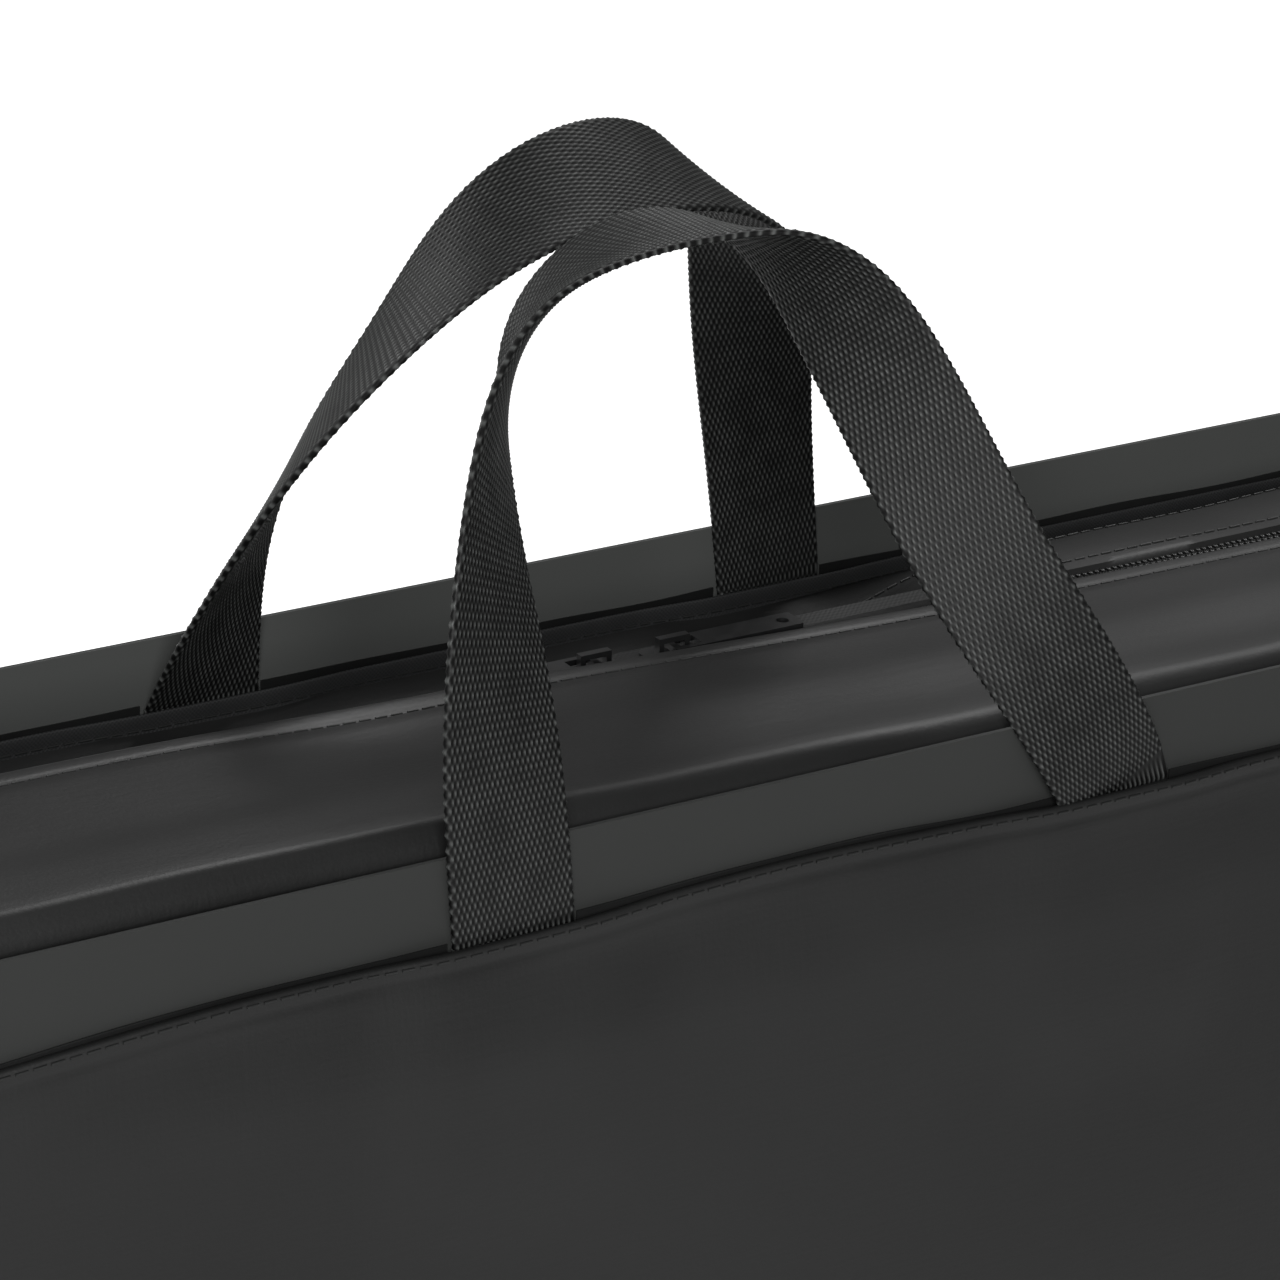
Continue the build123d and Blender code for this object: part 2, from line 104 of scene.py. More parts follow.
# ---------------------------------------------------------------- sizes that pieces share
PIPING_RADIUS = 1.75 * MM
LOWER_RADIUS = 8.25 * MM
SEAM_DROP = 3 * MM  # from a hem down to its seam
SEAM_TRIM = 6 * MM  # left unsewn at each end of a hem
ROLL_ROWS = 7  # rows of a panel's grid round its rolled hem
TURN_ROWS = 4  # rows of the turning inside the hem
RIM_STEP = 3 * MM  # between stations along the gusset and the zip
BAND_BOTTOM = 1.6 * MM
BAND_LAYERS = 0.8  # share of the gusset's thickness in one band
THREAD_LIFT = 0.05 * MM
FOLD_INSET = 1.5 * MM  # from the flap's top to the ply folded under it
FOLDED_ROWS = 9  # rows of the flap's fold and of the ply under it
COIL_LAP = 0.55 * MM  # tape's edge beyond its coil
COIL_OVERLAP = 0.35 * MM  # how far each coil reaches into the other
CREST_PLACE = 0.72  # share of the way from the zip to the back wall
SLACK_STEPS = 25


# ---------------------------------------------------------------- what a user can change
def measure(label, meaning, value):
    """A length property."""
    return FloatProperty(name=label, description=meaning, default=value, unit="LENGTH")


def tint(label, value):
    """A colour property."""
    return FloatVectorProperty(
        name=label, description=f"Base colour of the {label.lower()}", subtype="COLOR",
        size=3, min=0, max=1, default=value
    )


class PortfolioSoftSizes(bpy.types.PropertyGroup):
    """Sheet goods."""

    cover: measure("Cover", "Thickness of the outer vinyl", 0.8 * MM)
    gusset: measure("Gusset", "Thickness of the gusset vinyl", 1.2 * MM)
    lining: measure("Lining", "Thickness of the lining", 0.6 * MM)
    hem_turn: measure("Hem turn", "Width folded in at a hem", 9 * MM)
    foot_bulge: measure("Foot bulge", "Swelling over a sewn-in strap end", 1.3 * MM)
    pillow: measure("Pillow", "Slack of the cover over its board", 1.7 * MM)


class PortfolioWebSizes(bpy.types.PropertyGroup):
    """Webbing of the handles."""

    width: measure("Width", "Across the webbing", 25.4 * MM)
    thickness: measure("Thickness", "Through the webbing", 1.4 * MM)
    columns: IntProperty(
        name="Columns", description="Warp yarns across the webbing", default=22, min=4
    )
    row_pitch: measure("Row pitch", "From one row of grains to the next", 1.45 * MM)
    relief: measure("Relief", "Height of the woven grains", 0.42 * MM)


class PortfolioThreadSizes(bpy.types.PropertyGroup):
    """Sewing and the zip's coils."""

    pitch: measure("Stitch pitch", "From one stitch to the next", 3.4 * MM)
    length: measure("Stitch length", "Length of thread on top", 2.5 * MM)
    radius: measure("Thread radius", "Half the thread's thickness", 0.32 * MM)
    coil_pitch: measure("Coil pitch", "From one turn of the coil to the next", 1.56 * MM)
    wire: measure("Coil wire", "Radius of the coil's filament", 0.35 * MM)


class PortfolioTints(bpy.types.PropertyGroup):
    """Base colours."""

    vinyl: tint("Vinyl", (0.0075, 0.0077, 0.0076))
    board: tint("Board", (0.0318, 0.0330, 0.0319))
    webbing: tint("Webbing", (0.0075, 0.0078, 0.0076))
    lining: tint("Lining", (0.0160, 0.0165, 0.0170))
    metal: tint("Metal", (0.0090, 0.0092, 0.0094))
    floor: tint("Floor", (0.86, 0.86, 0.86))


class PortfolioStage(bpy.types.PropertyGroup):
    """Camera and light."""

    azimuth: FloatProperty(
        name="Azimuth", description="Camera's turn round the case", subtype="ANGLE",
        default=math.radians(-32.3)
    )
    elevation: FloatProperty(
        name="Elevation", description="Camera's height angle", subtype="ANGLE",
        default=math.radians(22.3)
    )
    roll: FloatProperty(
        name="Roll", description="Camera's tilt", subtype="ANGLE", default=math.radians(1.6)
    )
    camera_place: FloatVectorProperty(
        name="Camera", description="Camera's place", subtype="TRANSLATION", unit="LENGTH",
        default=(-483.4 * MM, -760.0 * MM, 881.5 * MM)
    )
    lens: FloatProperty(
        name="Lens", description="Focal length on a 36 mm sensor", default=140.6
    )
    sky: FloatProperty(
        name="Sky", description="Strength of the light from all round", default=0.11
    )


def settings():
    """The scene's property groups."""
    return bpy.context.scene.portfolio_case


class PortfolioCase(bpy.types.PropertyGroup):
    """Everything that can be set."""

    soft: PointerProperty(type=PortfolioSoftSizes)
    web: PointerProperty(type=PortfolioWebSizes)
    thread: PointerProperty(type=PortfolioThreadSizes)
    tints: PointerProperty(type=PortfolioTints)
    stage: PointerProperty(type=PortfolioStage)


# ---------------------------------------------------------------- shader expressions
def add_node(tree, kind, setup, inputs):
    """Add a node: its settings first, then the values or links of its sockets."""
    node = tree.nodes.new(kind)
    for key, value in (setup or {}).items():
        setattr(node, key, value)
    for key, value in (inputs or {}).items():
        if isinstance(value, bpy.types.NodeSocket):
            tree.links.new(value, node.inputs[key])
        else:
            node.inputs[key].default_value = value
    return node


class Wire:
    """A shader socket that arithmetic can be written with."""

    def __init__(self, finish, socket):
        self.finish = finish
        self.socket = socket

    def maths(self, operation, first, second=0.0):
        return self.finish.node("ShaderNodeMath", {"operation": operation}, {0: first, 1: second})

    def __add__(self, other):
        return self.maths("ADD", self, other)

    __radd__ = __add__

    def __sub__(self, other):
        return self.maths("SUBTRACT", self, other)

    def __rsub__(self, other):
        return self.maths("SUBTRACT", other, self)

    def __mul__(self, other):
        return self.maths("MULTIPLY", self, other)

    __rmul__ = __mul__

    def __pow__(self, other):
        return self.maths("POWER", self, other)

    def cosine(self):
        return self.maths("COSINE", self)

    def above(self, floor):
        return self.maths("MAXIMUM", self, floor)


class Finish:
    """A node material being built."""

    def __init__(self, name):
        self.material = bpy.data.materials.new(name)
        self.material.use_nodes = True
        self.tree = self.material.node_tree
        self.tree.nodes.clear()

    def node(self, kind, setup=None, inputs=None, output=0):
        """Add a node fed by numbers, colours or wires, and return one of its outputs."""
        fed = {key: getattr(value, "socket", value) for key, value in (inputs or {}).items()}
        return Wire(self, add_node(self.tree, kind, setup, fed).outputs[output])

    def place(self):
        """The point on the piece, in its own axes."""
        return self.node("ShaderNodeTexCoord", output="Object")

    def cloth_way(self):
        """Distances across and along the cloth, from its UV map."""
        return self.node("ShaderNodeUVMap", {"uv_map": "cloth"})

    def part(self, vector, axis):
        """One coordinate of a vector."""
        return self.node("ShaderNodeSeparateXYZ", None, {0: vector}, axis)

    def stretched(self, vector, scale):
        """The vector scaled along each axis."""
        return self.node(
            "ShaderNodeVectorMath", {"operation": "MULTIPLY"}, {0: vector, 1: scale}
        )

    def noise(self, vector, scale, detail=2.0):
        """Cloudy noise from 0 to 1."""
        return self.node(
            "ShaderNodeTexNoise", None, {"Vector": vector, "Scale": scale, "Detail": detail}
        )

    def blend(self, share, first, second):
        """Colour between two colours."""
        colours = {0: share, 6: first, 7: second}
        return self.node("ShaderNodeMix", {"data_type": "RGBA"}, colours, 2)

    def bump(self, height, distance, strength=1.0, normal=None):
        """A normal raised by a height."""
        sockets = {"Height": height, "Distance": distance, "Strength": strength}
        if normal is not None:
            sockets["Normal"] = normal
        return self.node("ShaderNodeBump", None, sockets)

    def surface(self, **sockets):
        """Finish with a principled surface; names have _ for a space."""
        named = {key.replace("_", " "): value for key, value in sockets.items()}
        shader = self.node("ShaderNodeBsdfPrincipled", None, named)
        output = self.tree.nodes.new("ShaderNodeOutputMaterial")
        self.tree.links.new(shader.socket, output.inputs["Surface"])
        return self.material


def rgba(colour, gain=1.0):
    """A property's colour, brightened, as a socket takes it."""
    return (*[channel * gain for channel in colour], 1.0)


def vinyl_finish():
    """Soft black vinyl: fine pebble, faint backing weave showing through, cloudy sheen."""
    finish = Finish("soft_vinyl")
    tints = settings().tints
    place = finish.place()
    cloud = finish.noise(place, 11.0, 4.0)
    pebble = finish.noise(place, 1500.0, 2.0)
    warp = finish.noise(finish.stretched(place, (900.0, 900.0, 60.0)), 1.0, 1.0)
    weft = finish.noise(finish.stretched(place, (60.0, 400.0, 900.0)), 1.0, 1.0)
    patches = finish.node("ShaderNodeMapRange", None, {0: cloud, 1: 0.35, 2: 0.68})
    colour = finish.blend(patches, rgba(tints.vinyl, 0.7), rgba(tints.vinyl, 1.4))
    backing = finish.bump(warp + weft, 0.09 * MM, 0.35)
    return finish.surface(
        Base_Color=colour,
        Roughness=0.38 + 0.10 * patches + 0.08 * pebble,
        Normal=finish.bump(pebble, 0.08 * MM, 0.4, backing),
        Specular_IOR_Level=0.5,
    )


def board_finish(name, inner_face=0.0, painted_light_gain=1.0):
    """Stiff black board with a smooth matte skin, with painted light on the side in front of
    inner_face: that side's colour is made paler by painted_light_gain.
    """
    finish = Finish(name)
    tints = settings().tints
    place = finish.place()
    cloud = finish.noise(place, 22.0, 2.0)
    tooth = finish.noise(place, 3200.0, 2.0)
    blur = 0.1 * MM
    depth = finish.part(place, 1)
    # Painted light: the skin in front of inner_face is made paler by the gain.
    stops = {1: inner_face - blur, 2: inner_face + blur, 3: painted_light_gain, 4: 1.0}
    gain = finish.node("ShaderNodeMapRange", None, {0: depth, **stops})
    skin = finish.blend(cloud, rgba(tints.board, 0.93), rgba(tints.board, 1.07))
    colour = finish.stretched(skin, gain)
    return finish.surface(
        Base_Color=colour,
        Roughness=0.50 + 0.08 * cloud,
        Normal=finish.bump(tooth, 0.03 * MM, 0.3),
        Specular_IOR_Level=0.25,
    )


def webbing_finish():
    """Woven polypropylene: glossy grains in staggered rows, each grain painted with a highlight and
    the gaps between them painted with shade.
    """
    finish = Finish("woven_webbing")
    sizes = settings().web
    tints = settings().tints
    way = finish.cloth_way()
    across = finish.part(way, 0) * (2 * math.pi * sizes.columns / sizes.width)
    along = finish.part(way, 1) * (math.pi / sizes.row_pitch)
    grain = (0.5 + 0.5 * (across.cosine() * along.cosine())).above(0.0) ** 3.0
    filament = finish.noise(finish.stretched(way, (9000.0, 900.0, 0.0)), 1.0, 1.0)
    patch = finish.noise(way, 160.0, 2.0)
    # Painted highlight on the grains and painted shade between them, put into the base colour.
    painted_grain_light = grain * (0.25 + 1.1 * patch)
    colour = finish.blend(painted_grain_light, rgba(tints.webbing, 0.12), rgba(tints.webbing, 14.0))
    return finish.surface(
        Base_Color=colour,
        Roughness=0.55 - 0.20 * grain,
        Normal=finish.bump(filament * grain, 0.08 * MM, 0.7),
        Specular_IOR_Level=0.26,
    )


def woven_finish(name, colour, pitch, roughness):
    """Plain weave of fine yarn, over and under in turn."""
    finish = Finish(name)
    way = finish.cloth_way()
    across = finish.part(way, 0) * (math.pi / pitch)
    along = finish.part(way, 1) * (math.pi / pitch)
    yarn = 0.5 + 0.5 * (across.cosine() * along.cosine())
    patch = finish.noise(way, 90.0, 2.0)
    return finish.surface(
        Base_Color=finish.blend(yarn * (0.5 + patch), rgba(colour, 0.55), rgba(colour, 1.6)),
        Roughness=roughness + 0.12 * patch,
        Normal=finish.bump(yarn, pitch / 4, 0.6),
    )


def glossy_finish(name, colour, roughness):
    """Moulded or painted part with slight mottling."""
    finish = Finish(name)
    place = finish.place()
    mottle = finish.noise(place, 260.0, 3.0)
    speck = finish.noise(place, 2600.0, 2.0)
    return finish.surface(
        Base_Color=finish.blend(mottle, rgba(colour, 0.8), rgba(colour, 1.3)),
        Roughness=roughness + 0.15 * mottle,
        Normal=finish.bump(speck, 0.02 * MM, 0.4),
    )


def floor_finish():
    """Pale floor with a painted glow, brighter towards the back like a studio sweep."""
    finish = Finish("pale_floor")
    tints = settings().tints
    place = finish.place()
    mottle = finish.noise(place, 3.0, 2.0)
    glow = finish.node("ShaderNodeMapRange", None, {0: finish.part(place, 1), 1: 0.10, 2: 0.60})
    return finish.surface(
        Base_Color=finish.blend(mottle, rgba(tints.floor, 0.97), rgba(tints.floor, 1.03)),
        Roughness=0.7 + 0.1 * mottle,
        # Painted light: the floor glows, from none at the front to full towards the back.
        Emission_Color=finish.blend(glow, (0.0, 0.0, 0.0, 1.0), (1.0, 1.0, 1.0, 1.0)),
        Emission_Strength=0.8,
    )


FINISHES = {}


def finish_for(name):
    """The material of one finish, made the first time it is asked for."""
    tints = settings().tints
    back_face = low("back_board").y + 0.5 * MM
    makers = {
        "vinyl": vinyl_finish,
        "board": lambda: board_finish("board_skin"),
        # The back board's inner face is painted 2.3 times paler: painted light, as if that face
        # caught light from above.
        "back_board": lambda: board_finish("back_board_painted_light_skin", back_face, 2.3),
        "webbing": webbing_finish,
        "lining": lambda: woven_finish("lining_cloth", tints.lining, 0.45 * MM, 0.6),
        "tape": lambda: woven_finish("zip_tape", tints.webbing, 0.6 * MM, 0.62),
        "coil": lambda: glossy_finish("zip_coil", tints.webbing, 0.25),
        "metal": lambda: glossy_finish("zip_metal", tints.metal, 0.28),
        "thread": lambda: woven_finish("thread", tints.webbing, 0.3 * MM, 0.45),
        "floor": floor_finish,
    }
    if name not in FINISHES:
        FINISHES[name] = makers[name]()
    return FINISHES[name]


# ---------------------------------------------------------------- mesh building
def soft_step(value):
    """Smooth rise from 0 to 1 as value goes from 0 to 1."""
    share = np.clip(value, 0.0, 1.0)
    return share * share * (3 - 2 * share)


def near(place, centre, half, fade):
    """1 within half of the centre, fading to 0 over the next stretch."""
    return soft_step(1 - (np.abs(place - centre) - half) / fade)


def hump(offset, width):
    """1 where the offset is 0, falling away smoothly over about a width."""
    return np.exp(-((offset / width) ** 2))


def ripple(first, second, seed, wavelength):
    """Gentle uneven waves, about -1 to 1, over two coordinates."""
    rng = np.random.default_rng(seed)
    waves, usual_peak = 6, 3.5
    total = 0.0
    for _ in range(waves):
        turn, phase = rng.uniform(0, 2 * math.pi, 2)
        rate = 2 * math.pi / (wavelength * rng.uniform(0.7, 1.5))
        along = first * math.cos(turn) + second * math.sin(turn)
        total = total + np.cos(rate * along + phase)
    return total / usual_peak


def link_mesh(name, points, faces, uvs, finish):
    """Make a mesh object from points, faces and a UV pair for each face corner."""
    mesh = bpy.data.meshes.new(name)
    mesh.from_pydata(np.asarray(points, float).reshape(-1, 3).tolist(), [], faces)
    layer = mesh.uv_layers.new(name="cloth")
    layer.data.foreach_set("uv", np.asarray(uvs, np.float32).ravel())
    mesh.polygons.foreach_set("use_smooth", [True] * len(mesh.polygons))
    mesh.set_sharp_from_angle(angle=math.radians(50))
    mesh.materials.append(finish_for(finish))
    piece = bpy.data.objects.new(name, mesh)
    bpy.context.scene.collection.objects.link(piece)
    return piece


def run_lengths(line):
    """Distance of each point along a line."""
    steps = np.linalg.norm(np.diff(line, axis=0), axis=1)
    return np.concatenate(([0.0], np.cumsum(steps)))


def spans(points, axis):
    """Distances along one axis of a grid, down its middle."""
    middle = points.shape[1 - axis] // 2
    return run_lengths(np.take(points, middle, axis=1 - axis))


def flat_grid(half_x, half_y, columns, rows):
    """Level grid of x and y round the middle of the case."""
    return np.meshgrid(np.linspace(-half_x, half_x, columns), np.linspace(-half_y, half_y, rows))


def grid_normals(middle):
    """Unit normals of a grid: columns crossed with rows."""
    normal = np.cross(np.gradient(middle, axis=1), np.gradient(middle, axis=0))
    return normal / np.linalg.norm(normal, axis=2, keepdims=True)


def row_line(middle, row, lift):
    """One row of a grid, lifted off the grid's outer side for thread to lie on."""
    return middle[row] + grid_normals(middle)[row] * lift


def sheet_mesh(name, middle, thickness, finish):
    """Closed sheet with its two faces half a thickness from a grid of points."""
    rows, columns = middle.shape[:2]
    offset = grid_normals(middle) * thickness / 2
    points = np.concatenate(((middle + offset).reshape(-1, 3), (middle - offset).reshape(-1, 3)))
    count = rows * columns
    index = np.arange(count).reshape(rows, columns)
    corners = (index[:-1, :-1], index[:-1, 1:], index[1:, 1:], index[1:, :-1])
    top = np.stack([corner.ravel() for corner in corners], axis=1)
    under = top[:, ::-1] + count
    rim = np.concatenate((index[0, :-1], index[:-1, -1], index[-1, :0:-1], index[:0:-1, 0]))
    after = np.roll(rim, -1)
    edge = np.stack((after, rim, rim + count, after + count), axis=1)
    faces = np.concatenate((top, under, edge))
    across, along = np.meshgrid(spans(middle, 1), spans(middle, 0))
    flat = np.stack((across, along), axis=2).reshape(-1, 2)
    flat = np.concatenate((flat, flat))
    return link_mesh(name, points, faces.tolist(), flat[faces.ravel()], finish)


def tube_mesh(name, rings, finish, around, along):
    """Closed tube through rings of points, with a flat cap at each end."""
    rows, columns = rings.shape[:2]
    index = np.arange(rows * columns).reshape(rows, columns)
    ahead = np.roll(index, -1, axis=1)
    sides = np.stack(
        (index[:-1].ravel(), ahead[:-1].ravel(), ahead[1:].ravel(), index[1:].ravel()), axis=1
    )
    step = np.arange(columns)
    first = np.tile(step, rows - 1)
    row = np.repeat(np.arange(rows - 1), columns)
    turns = np.concatenate((around, [2 * around[-1] - around[-2]]))
    corners = ((0, 0), (1, 0), (1, 1), (0, 1))
    uvs = [np.stack((turns[first + i], along[row + j]), axis=1) for i, j in corners]
    uvs = np.stack(uvs, axis=1).reshape(-1, 2)
    faces = sides.tolist()
    half = columns // 2
    caps = []
    for start, flip in ((0, True), ((rows - 1) * columns, False)):
        for i in range(half - 1):
            quad = [start + i, start + i + 1, start + columns - 2 - i, start + columns - 1 - i]
            caps.append(quad[::-1] if flip else quad)
    cap_uvs = np.zeros((4 * len(caps), 2))
    return link_mesh(name, rings, faces + caps, np.concatenate((uvs, cap_uvs)), finish)


# ---------------------------------------------------------------- hemmed panels
SEAMS = {}


def add_seam(body, line):
    """Keep a line of points for the thread to follow, on one body."""
    SEAMS.setdefault(body, []).append(np.asarray(line))


def panel_half_width(height):
    """Half the width of a wall at a height, with its rounded corners."""
    lower = np.clip(PANEL_BOTTOM + LOWER_RADIUS - height, 0, LOWER_RADIUS)
    upper = np.clip(height - (BOARD_TOP - CORNER_RADIUS), 0, CORNER_RADIUS)
    cut = LOWER_RADIUS - np.sqrt(LOWER_RADIUS**2 - lower**2)
    cut = cut + CORNER_RADIUS - np.sqrt(CORNER_RADIUS**2 - upper**2)
    return HALF_PANEL - cut


def hem_wave(x):
    """How far the front cover's hem strays from its level along the case."""
    dip = -3.2 * MM * soft_step((-115 * MM - x) / (80 * MM))
    return dip + 1.6 * MM * hump(x + 6 * MM, 38 * MM)


def level(x):
    """A hem that keeps its level."""
    return 0 * x


def strap_centre():
    """Distance of a sewn-in strap end from the middle of the case."""
    return TAIL_OUT - settings().web.width / 2


def foot_columns(across, fade):
    """1 over the two strap ends, fading to 0 beside them."""
    return near(np.abs(across), strap_centre(), settings().web.width / 2, fade)


def hemmed_panel(name, face_y, facing, thickness, bulge, finish, wave, column_step=3 * MM):
    """Panel over a board, its top edge rolled inwards to a hem.

    face_y is the panel's own outer face, facing its outward direction along Y, and bulge a
    function of x and z that gives how far the panel stands out of that face.
    """
    sizes = settings().soft
    roll = 0.75 * thickness
    # Rows stand closer together round the bottom corners and towards the hem.
    heights = np.concatenate(
        (
            np.linspace(PANEL_BOTTOM, PANEL_BOTTOM + LOWER_RADIUS, 7),
            np.arange(PANEL_BOTTOM + LOWER_RADIUS + 6 * MM, HEM - 40 * MM, 7 * MM),
            np.arange(HEM - 38 * MM, HEM - 7 * MM, 2.5 * MM),
            np.arange(HEM - 6.4 * MM, HEM - roll, 0.8 * MM),
        )
    )
    angles = np.linspace(0, math.pi, ROLL_ROWS)
    ply = np.linspace(HEM - roll - 1.5 * MM, HEM - sizes.hem_turn, TURN_ROWS)
    depth = np.concatenate((0 * heights, roll * (1 - np.cos(angles)), 0 * ply + 2 * roll))
    rise = np.concatenate((heights, HEM - roll + roll * np.sin(angles), ply))
    bulge_at = np.concatenate((heights, 0 * angles + HEM, 0 * ply + HEM))
    columns = int(2 * HALF_PANEL / column_step)
    across = np.linspace(-1, 1, columns + 1) * -facing
    share, height = np.meshgrid(across, rise)
    x = share * panel_half_width(height)
    out = bulge(x, bulge_at[:, None] + 0 * x)
    groove = 0.25 * MM * hump(height - HEM + SEAM_DROP, 0.9 * MM) * (depth[:, None] == 0)
    y = face_y + facing * (out - thickness / 2 - depth[:, None] - groove)
    drift = wave(x) * soft_step((height - HEM + 60 * MM) / (50 * MM))
    middle = np.stack((x, y, height + drift), axis=2)
    return sheet_mesh(name, middle, thickness, finish), middle


def hem_facing(side, wave):
    """Strips of the folded-in edge that stand against the board between the strap ends."""
    cut = 12 * MM
    width = settings().web.width + 1.6 * MM
    centre = strap_centre()
    edge = HALF_PANEL - 9 * MM
    gaps = (
        (-edge, -centre - width / 2),
        (-centre + width / 2, centre - width / 2),
        (centre + width / 2, edge),
    )
    heights = np.concatenate(
        (np.linspace(HEM - 11 * MM, HEM - 1.5 * MM, 6), HEM + np.array([-0.6, 0.2, 0.9]) * MM)
    )
    plane_y = low(f"{side}_board").y - 0.2 * MM
    for number, (start, stop) in enumerate(gaps, 1):
        across = np.linspace(start, stop, int((stop - start) / (3 * MM)))
        x, z = np.meshgrid(across, heights)
        wobble = 0.12 * MM * ripple(x, z, 83 + number, 40 * MM)
        z = z + (wave(x) + 2 * wobble) * soft_step((z - HEM + cut) / (9 * MM))
        middle = np.stack((x, plane_y + 0 * x, z), axis=2)
        strip = sheet_mesh(f"{side}_hem_facing_{number}", middle, 0.3 * MM, "vinyl")
        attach(strip, f"{side}_wall")
        stop - start


def hem_seam(middle, thickness, body):
    """Run the seam that holds a panel's hem, on its outer face."""
    outer_rows = len(middle) - ROLL_ROWS - TURN_ROWS
    row = int(np.argmin(np.abs(middle[:outer_rows, 0, 2] - (HEM - SEAM_DROP))))
    line = row_line(middle, row, thickness / 2)
    add_seam(body, line[np.abs(line[:, 0]) < HALF_PANEL - SEAM_TRIM])


def cover_bulge(seed):
    """Bulge of an outer cover: slack over the board, drawn in at its seams."""
    sizes = settings().soft

    def bulge(x, z):
        edge = np.minimum(HALF_PANEL - np.abs(x), z - PANEL_BOTTOM)
        inside = soft_step(edge / (60 * MM))
        below = HEM - z
        slack = sizes.pillow * (1.3 + ripple(x, z, seed, 190 * MM)) * inside
        slack = slack * soft_step(below / (26 * MM))
        crease = 0.75 * MM * ripple(x, 0.4 * z, seed + 1, 60 * MM)
        crease = crease * inside * np.exp(-below / (70 * MM)) * soft_step(below / (8 * MM))
        feet = foot_columns(x, 22 * MM) * soft_step(1 - (below - 40 * MM) / (25 * MM))
        return slack + crease + (sizes.foot_bulge + 0.1 * MM) * feet + 0.25 * MM

    return bulge


def lining_bulge(seed, over_tails):
    """Bulge of a lining: nearly flat, swelling over strap ends where it covers them."""

    def bulge(x, z):
        below = HEM - z
        inside = soft_step((HALF_PANEL - np.abs(x)) / (40 * MM))
        slack = 0.25 * MM * (1 + ripple(x, z, seed, 110 * MM)) * inside
        feet = foot_columns(x, 24 * MM) * soft_step(1 - (below - 40 * MM) / (25 * MM))
        return slack + over_tails * feet

    return bulge


class PORTFOLIO_OT_covers(bpy.types.Operator):
    """Make the two outer covers with their hems"""

    bl_idname = "portfolio.covers"
    bl_label = "Outer covers"

    def execute(self, context):
        thickness = settings().soft.cover
        for side, facing, face_y, inner_wave, seed in (
            ("front", -1, low("front_cover").y, hem_wave, 11),
            ("back", 1, high("back_cover").y, level, 23),
        ):
            cover, middle = hemmed_panel(
                f"{side}_cover_vinyl", face_y, facing, thickness, cover_bulge(seed), "vinyl",
                hem_wave
            )
            hem_facing(side, inner_wave)
            hem_seam(middle, thickness, f"{side}_wall")
            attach(cover, f"{side}_wall")
            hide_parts(f"{side}_cover")
        return {"FINISHED"}


class PORTFOLIO_OT_linings(bpy.types.Operator):
    """Make the wall linings and the base lining"""

    bl_idname = "portfolio.linings"
    bl_label = "Linings"

    def execute(self, context):
        thickness = settings().soft.lining
        for side, facing, face_y, swell, seed in (
            ("front", 1, high("front_lining").y, 0.0, 31),
            ("back", -1, low("back_lining").y, 1.2 * MM, 37),
        ):
            lining, middle = hemmed_panel(
                f"{side}_lining_cloth", face_y, facing, thickness / 2,
                lining_bulge(seed, swell), "lining", level, 5 * MM
            )
            hem_seam(middle, thickness / 2, f"{side}_wall")
            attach(lining, f"{side}_wall")
            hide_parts(f"{side}_lining")
        half_x = high("base_lining").x
        half_y = high("base_lining").y
        across, along = flat_grid(half_x, half_y, 120, 28)
        lift = 0.1 * MM * (1 + ripple(across, along, 41, 60 * MM))
        middle = np.stack((across, along, BASE_TOP + 0.2 * MM + lift), axis=2)
        lining = sheet_mesh("base_lining_cloth", middle, 0.35 * MM, "lining")
        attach(lining, "base")
        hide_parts("base_lining")
        return {"FINISHED"}


# ---------------------------------------------------------------- base and hinge folds
class PORTFOLIO_OT_base(bpy.types.Operator):
    """Make the base cover and the vinyl that folds up into each wall"""

    bl_idname = "portfolio.base"
    bl_label = "Base and folds"

    def execute(self, context):
        thickness = settings().soft.cover
        across, along = flat_grid(HALF_PANEL, BASE_EDGE, 150, 40)
        sag = 0.12 * MM * (1 + ripple(across, along, 47, 80 * MM))
        middle = np.stack((across, along, thickness / 2 + sag), axis=2)
        cover = sheet_mesh("base_cover_vinyl", middle, thickness, "vinyl")
        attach(cover, "base")
        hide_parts("base_cover")
        for side, facing in (("front", -1), ("back", 1)):
            self.fold(side, facing)
        for name, sign in (("left", -1), ("right", 1)):
            self.end_tab(name, sign)
        return {"FINISHED"}

    def end_tab(self, name, sign):
        """Tab that closes the gap between the gussets below one end of the zip."""
        depth = np.linspace(-4 * MM, 15 * MM, 12)[::sign]
        height = np.linspace(BASE_TOP + 0.5 * MM, ZIP_END + 2 * MM, 22)
        y, z = np.meshgrid(depth, height)
        x = sign * (HALF_PANEL - 6.5 * MM + 0.3 * MM * ripple(y, z, 97, 30 * MM))
        middle = np.stack((x, y, z), axis=2)[:, ::-1]
        tab = sheet_mesh(f"{name}_end_tab", middle, 0.8 * MM, "vinyl")
        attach(tab, "base")

    def fold(self, side, facing):
        """Strip from the base, round the hinge line and up inside the wall's cover."""
        tuck = BASE_EDGE - 2.2 * MM
        outline = np.array(  # distance out from the middle, height
            [
                (BASE_BOARD_EDGE + 0.3 * MM, 1.35 * MM),
                (BASE_EDGE - 2.4 * MM, 1.30 * MM),
                (BASE_EDGE - 0.9 * MM, 1.35 * MM),
                (BASE_EDGE - 0.55 * MM, 1.70 * MM),
                (BASE_EDGE - 0.8 * MM, 2.20 * MM),
                (tuck, 3.0 * MM),
                (tuck, 5.0 * MM),
                (tuck, 8.0 * MM),
                (tuck, 10.5 * MM),
            ]
        )
        half = HALF_PANEL - LOWER_RADIUS
        across = np.linspace(-half, half, 140) * -facing
        x, y = np.meshgrid(across, outline[:, 0])
        z = np.repeat(outline[:, 1:], len(across), axis=1)
        middle = np.stack((x, facing * y, z), axis=2)
        strip = sheet_mesh(f"{side}_hinge_fold", middle, 0.5 * MM, "vinyl")
        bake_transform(strip)


